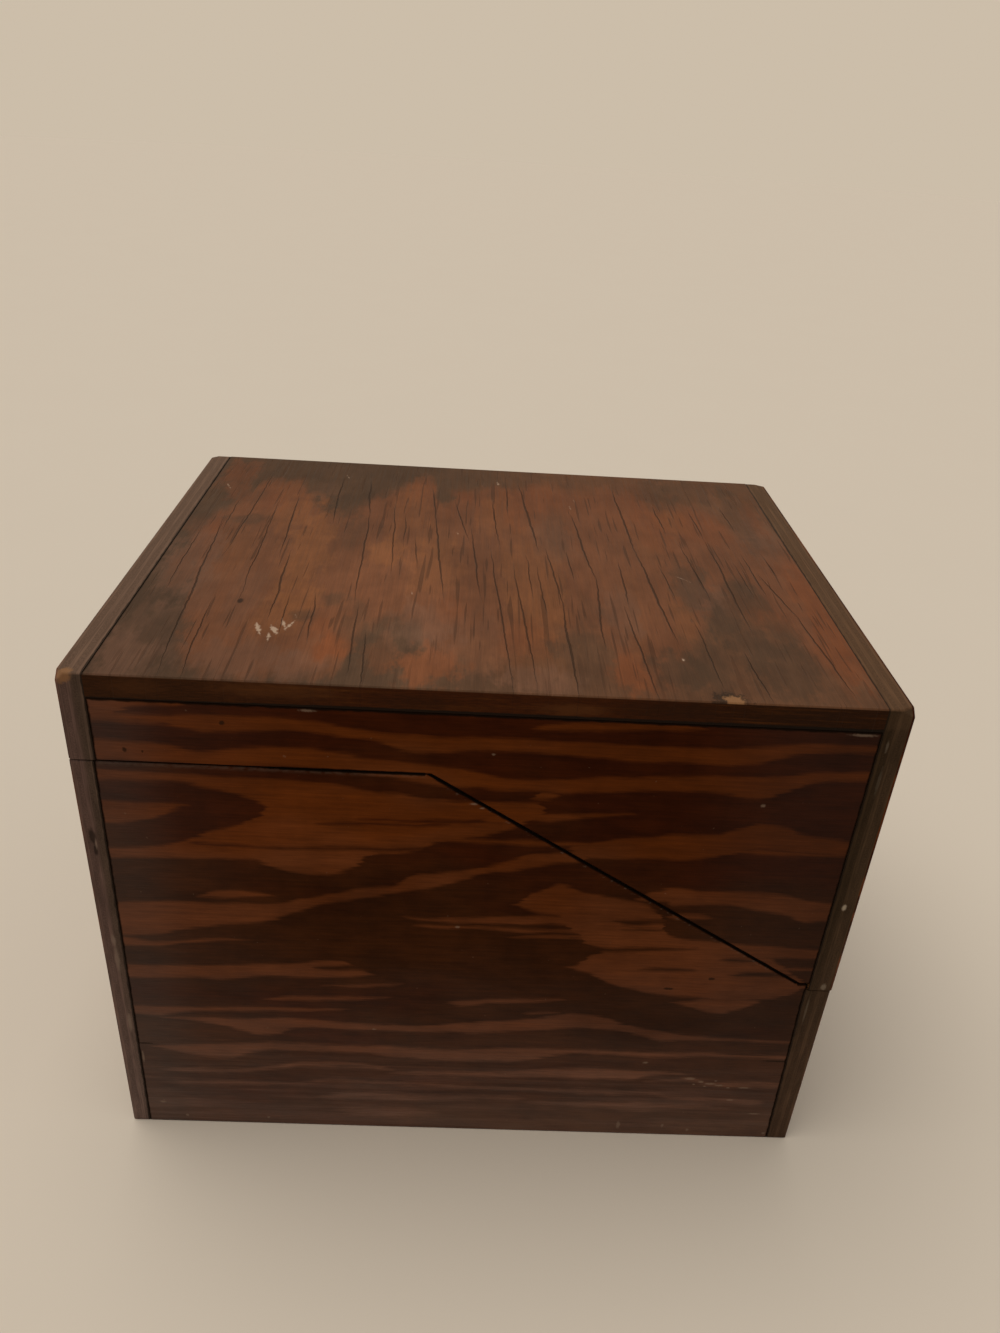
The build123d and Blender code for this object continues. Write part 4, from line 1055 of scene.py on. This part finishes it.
def plain_panel(name, colours):
    """Finish of the bottom panel: thin stain inside, bare plywood below."""
    wood = Finish(name)
    coarse, fine = fibres(wood, 1, 0, 70.0)
    light = light_share(grown_figure(wood, 1, 0, 72.0))
    streak = coarse.ramp(0.3, 0.72, 0.84, 1.16) * fine.ramp(0.3, 0.7, 0.92, 1.08)
    inside = wood.blend(light, colours.inside_dark, colours.inside_wood)
    under = wood.blend(light, BARE_DARK_WOOD, BARE_LIGHT_WOOD)
    colour = wood.blend(wood.height.ramp(4.0, 5.0), under, inside)
    wood.set(Base_Color=wood.scale(colour, streak),
             Specular_IOR_Level=0.2,
             Roughness=coarse.ramp(0.2, 0.8, 0.5, 0.7))
    wood.bump(light * 0.3 + coarse * 0.4 + fine * 0.3, 0.00012)
    return wood.material


def old_metal(name, clean, tarnish, seed, roughness):
    """Finish of a small metal fitting: rubbed metal with tarnish in patches."""
    metal = Finish(name)
    patches = metal.noise((0.22, 0.22, 0.22), seed, 3.0, 0.55)
    scratches = metal.noise((0.3, 3.0, 3.0), seed + 3.0, 2.0)
    share = patches.ramp(0.4, 0.72) * 0.75
    metal.set(Base_Color=metal.blend(share, clean, tarnish),
              Metallic=1.0,
              Roughness=scratches.ramp(0.2, 0.8, roughness - 0.08, roughness + 0.1) + share * 0.2)
    metal.bump(scratches * 0.4 + patches * 0.6, 0.00002)
    return metal.material


def dress(material, *names):
    """Puts one material on CAD nodes, over all their faces."""
    for name in names:
        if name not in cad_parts:
            raise RuntimeError("the frame has no node named " + name)
        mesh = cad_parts[name].data
        mesh.materials.clear()
        mesh.materials.append(material)


class FILEBOX_OT_left_sides(bpy.types.Operator):
    """Stain both left side panels, with one figure that runs across the saw cut."""

    bl_idname = "file_box.left_sides"
    bl_label = "Left side panels"

    def execute(self, context):
        colours = context.scene.file_box_wood
        material = stained_side("left_side_stain", colours, placed_figure, 1.0,
                                lambda wood: wood.across, left_side_marks)
        dress(material, "base_left_side", "lid_left_side")
        return {"FINISHED"}


class FILEBOX_OT_right_sides(bpy.types.Operator):
    """Stain both right side panels."""

    bl_idname = "file_box.right_sides"
    bl_label = "Right side panels"

    def execute(self, context):
        colours = context.scene.file_box_wood
        material = stained_side("right_side_stain", colours,
                                lambda wood: grown_figure(wood, 1, 2, 31.0), 14.0,
                                lambda wood: CASE_WIDTH - wood.across, plain_marks)
        dress(material, "base_right_side", "lid_right_side")
        return {"FINISHED"}


class FILEBOX_OT_front_boards(bpy.types.Operator):
    """Stain the front boards of the lid and the base."""

    bl_idname = "file_box.front_boards"
    bl_label = "Front boards"

    def execute(self, context):
        colours = context.scene.file_box_wood
        wood = Finish("front_board_stain")
        depth = CASE_DEPTH - wood.back
        seam = CASE_DEPTH - base_seams(wood)[1]
        material = stained_board(wood, colours, 90.0, depth, seam, FRONT_END_TONES, front_board_marks)
        dress(material, "base_front_board", "lid_front_board")
        return {"FINISHED"}


class FILEBOX_OT_back_boards(bpy.types.Operator):
    """Stain the back boards of the lid and the base."""

    bl_idname = "file_box.back_boards"
    bl_label = "Back boards"

    def execute(self, context):
        colours = context.scene.file_box_wood
        wood = Finish("back_board_stain")
        seam = base_seams(wood)[0]
        material = stained_board(wood, colours, 110.0, wood.back, seam, BACK_END_TONES, back_board_marks)
        dress(material, "base_back_board", "lid_back_board")
        return {"FINISHED"}


class FILEBOX_OT_top_panel(bpy.types.Operator):
    """Stain the top panel, with its checks, scuffs and chip."""

    bl_idname = "file_box.top_panel"
    bl_label = "Top panel"

    def execute(self, context):
        dress(stained_top("top_panel_stain", context.scene.file_box_wood), "lid_top_panel")
        return {"FINISHED"}


class FILEBOX_OT_bottom_panel(bpy.types.Operator):
    """Finish the bottom panel."""

    bl_idname = "file_box.bottom_panel"
    bl_label = "Bottom panel"

    def execute(self, context):
        dress(plain_panel("bottom_panel_wood", context.scene.file_box_wood), "bottom_panel")
        return {"FINISHED"}


class FILEBOX_OT_hinges(bpy.types.Operator):
    """Finish the butt hinges and their screws in old brass."""

    bl_idname = "file_box.hinges"
    bl_label = "Hinges and screws"

    def execute(self, context):
        metals = context.scene.file_box_metal
        leaf = old_metal("hinge_brass_old", metals.brass, metals.tarnish, 5.0, 0.34)
        screw = old_metal("screw_brass_old", metals.brass, metals.tarnish, 25.0, 0.28)
        dress(leaf, *[side + "_hinge_" + part for side in ("left", "right")
                      for part in ("case_leaf", "lid_leaf", "pin")])
        dress(screw, "case_leaf_screws", "lid_leaf_screws")
        return {"FINISHED"}


class FILEBOX_OT_brads(bpy.types.Operator):
    """Finish the brads in dull steel."""

    bl_idname = "file_box.brads"
    bl_label = "Brads"

    def execute(self, context):
        metals = context.scene.file_box_metal
        steel = old_metal("brad_steel_old", metals.steel, BRAD_RUST, 45.0, 0.45)
        dress(steel, "base_back_brads", "base_front_brads", "lid_back_brads", "lid_front_brads")
        return {"FINISHED"}


def disc(name, radius, rings, spokes):
    """Round floor: rings of points whose radius grows as the square of the ring's share."""
    share = np.linspace(0.0, 1.0, rings)[1:, None] ** 2
    turn = np.linspace(0.0, 2 * np.pi, spokes, endpoint=False)[None, :]
    rim = np.stack([radius * share * np.cos(turn), radius * share * np.sin(turn), 0 * share * turn], -1)
    points = np.concatenate([[[0.0, 0.0, 0.0]], rim.reshape(-1, 3)])
    column = np.arange(spokes)
    after = (column + 1) % spokes
    hub = [(0, 1 + a, 1 + b) for a, b in zip(column, after)]
    ring = (1 + np.arange(rings - 2)[:, None] * spokes)
    quads = np.stack([ring + column, ring + spokes + column, ring + spokes + after, ring + after], -1)
    mesh = bpy.data.meshes.new(name)
    mesh.from_pydata(points.tolist(), [], hub + quads.reshape(-1, 4).tolist())
    mesh.update()
    return bpy.data.objects.new(name, mesh)


class FILEBOX_OT_studio(bpy.types.Operator):
    """Build the plain floor, the soft lights and the camera."""

    bl_idname = "file_box.studio"
    bl_label = "Studio"

    def execute(self, context):
        sizes = context.scene.file_box_studio
        scene = context.scene
        floor = disc("studio_floor", sizes.floor_radius, FLOOR_RINGS, FLOOR_SPOKES)
        paint = Finish("floor_paint")
        mottle = paint.noise((0.01, 0.01, 0.01), 0.0, 3.0)
        shaded = [FLOOR_SHADE * part for part in sizes.floor_colour]
        paint.set(Base_Color=paint.blend(mottle, shaded, sizes.floor_colour),
                  Roughness=0.9,
                  Specular_IOR_Level=0.1)
        floor.data.materials.append(paint.material)
        scene.collection.objects.link(floor)

        lamp = bpy.data.lights.new("soft_lamp", "SUN")
        lamp.angle = sizes.lamp_spread
        lamp.energy = sizes.lamp_strength
        lamp.color = LAMP_TINT
        lamp_object = bpy.data.objects.new("soft_lamp", lamp)
        lamp_object.rotation_euler = sizes.lamp_lean
        scene.collection.objects.link(lamp_object)

        world = bpy.data.worlds.new("studio_air")
        world.use_nodes = True
        tree = world.node_tree
        background = tree.nodes["Background"]
        path = tree.nodes.new("ShaderNodeLightPath")
        seen = Field(tree, path.outputs["Is Camera Ray"]).most(Field(tree, path.outputs["Is Glossy Ray"]))
        seen = seen.most(Field(tree, path.outputs["Is Transmission Ray"]))
        air = [sizes.sky_strength * part for part in SKY_TINT]
        tree.links.new(mixed(tree, seen, air, sizes.wall_colour), background.inputs["Color"])
        background.inputs["Strength"].default_value = 1.0
        scene.world = world
        scene.view_settings.view_transform = "Standard"

        camera = bpy.data.cameras.new("camera")
        camera.sensor_width = SENSOR_WIDTH
        camera.lens = sizes.lens
        camera.clip_start = NEAREST_SEEN
        camera_object = bpy.data.objects.new("camera", camera)
        forward = Vector(CAMERA_FORWARD).normalized()
        right = Vector(CAMERA_RIGHT).normalized()
        up = right.cross(forward).normalized()
        right = forward.cross(up)
        turn = Matrix((right, up, -forward)).transposed().to_4x4()
        camera_object.matrix_world = Matrix.Translation(Vector(sizes.camera_place)) @ turn
        scene.collection.objects.link(camera_object)
        scene.camera = camera_object
        return {"FINISHED"}


class FILEBOX_PT_panel(bpy.types.Panel):
    """Lists the finishing steps and their colours."""

    bl_idname = "FILEBOX_PT_panel"
    bl_label = "File Box"
    bl_space_type = "VIEW_3D"
    bl_region_type = "UI"
    bl_category = "File Box"

    def draw(self, context):
        for operator in OPERATORS:
            self.layout.operator(operator.bl_idname)
        for group in (context.scene.file_box_wood, context.scene.file_box_metal,
                      context.scene.file_box_studio):
            box = self.layout.box()
            for name in type(group).__annotations__:
                box.prop(group, name)


OPERATORS = (
    FILEBOX_OT_left_sides,
    FILEBOX_OT_right_sides,
    FILEBOX_OT_front_boards,
    FILEBOX_OT_back_boards,
    FILEBOX_OT_top_panel,
    FILEBOX_OT_bottom_panel,
    FILEBOX_OT_hinges,
    FILEBOX_OT_brads,
    FILEBOX_OT_studio,
)
GROUPS = {
    "file_box_wood": WoodColours,
    "file_box_metal": MetalColours,
    "file_box_studio": StudioSizes,
}


def register():
    """Adds the property groups, operators and panel to Blender."""
    for name, group in GROUPS.items():
        bpy.utils.register_class(group)
        setattr(bpy.types.Scene, name, bpy.props.PointerProperty(type=group))
    for operator in OPERATORS:
        bpy.utils.register_class(operator)
    bpy.utils.register_class(FILEBOX_PT_panel)


def unregister():
    """Takes them out again."""
    bpy.utils.unregister_class(FILEBOX_PT_panel)
    for operator in reversed(OPERATORS):
        bpy.utils.unregister_class(operator)
    for name, group in GROUPS.items():
        delattr(bpy.types.Scene, name)
        bpy.utils.unregister_class(group)


def main():
    register()
    bpy.ops.file_box.left_sides()
    bpy.ops.file_box.right_sides()
    bpy.ops.file_box.front_boards()
    bpy.ops.file_box.back_boards()
    bpy.ops.file_box.top_panel()
    bpy.ops.file_box.bottom_panel()
    bpy.ops.file_box.hinges()
    bpy.ops.file_box.brads()
    bpy.ops.file_box.studio()


if __name__ == "__main__":
    main()
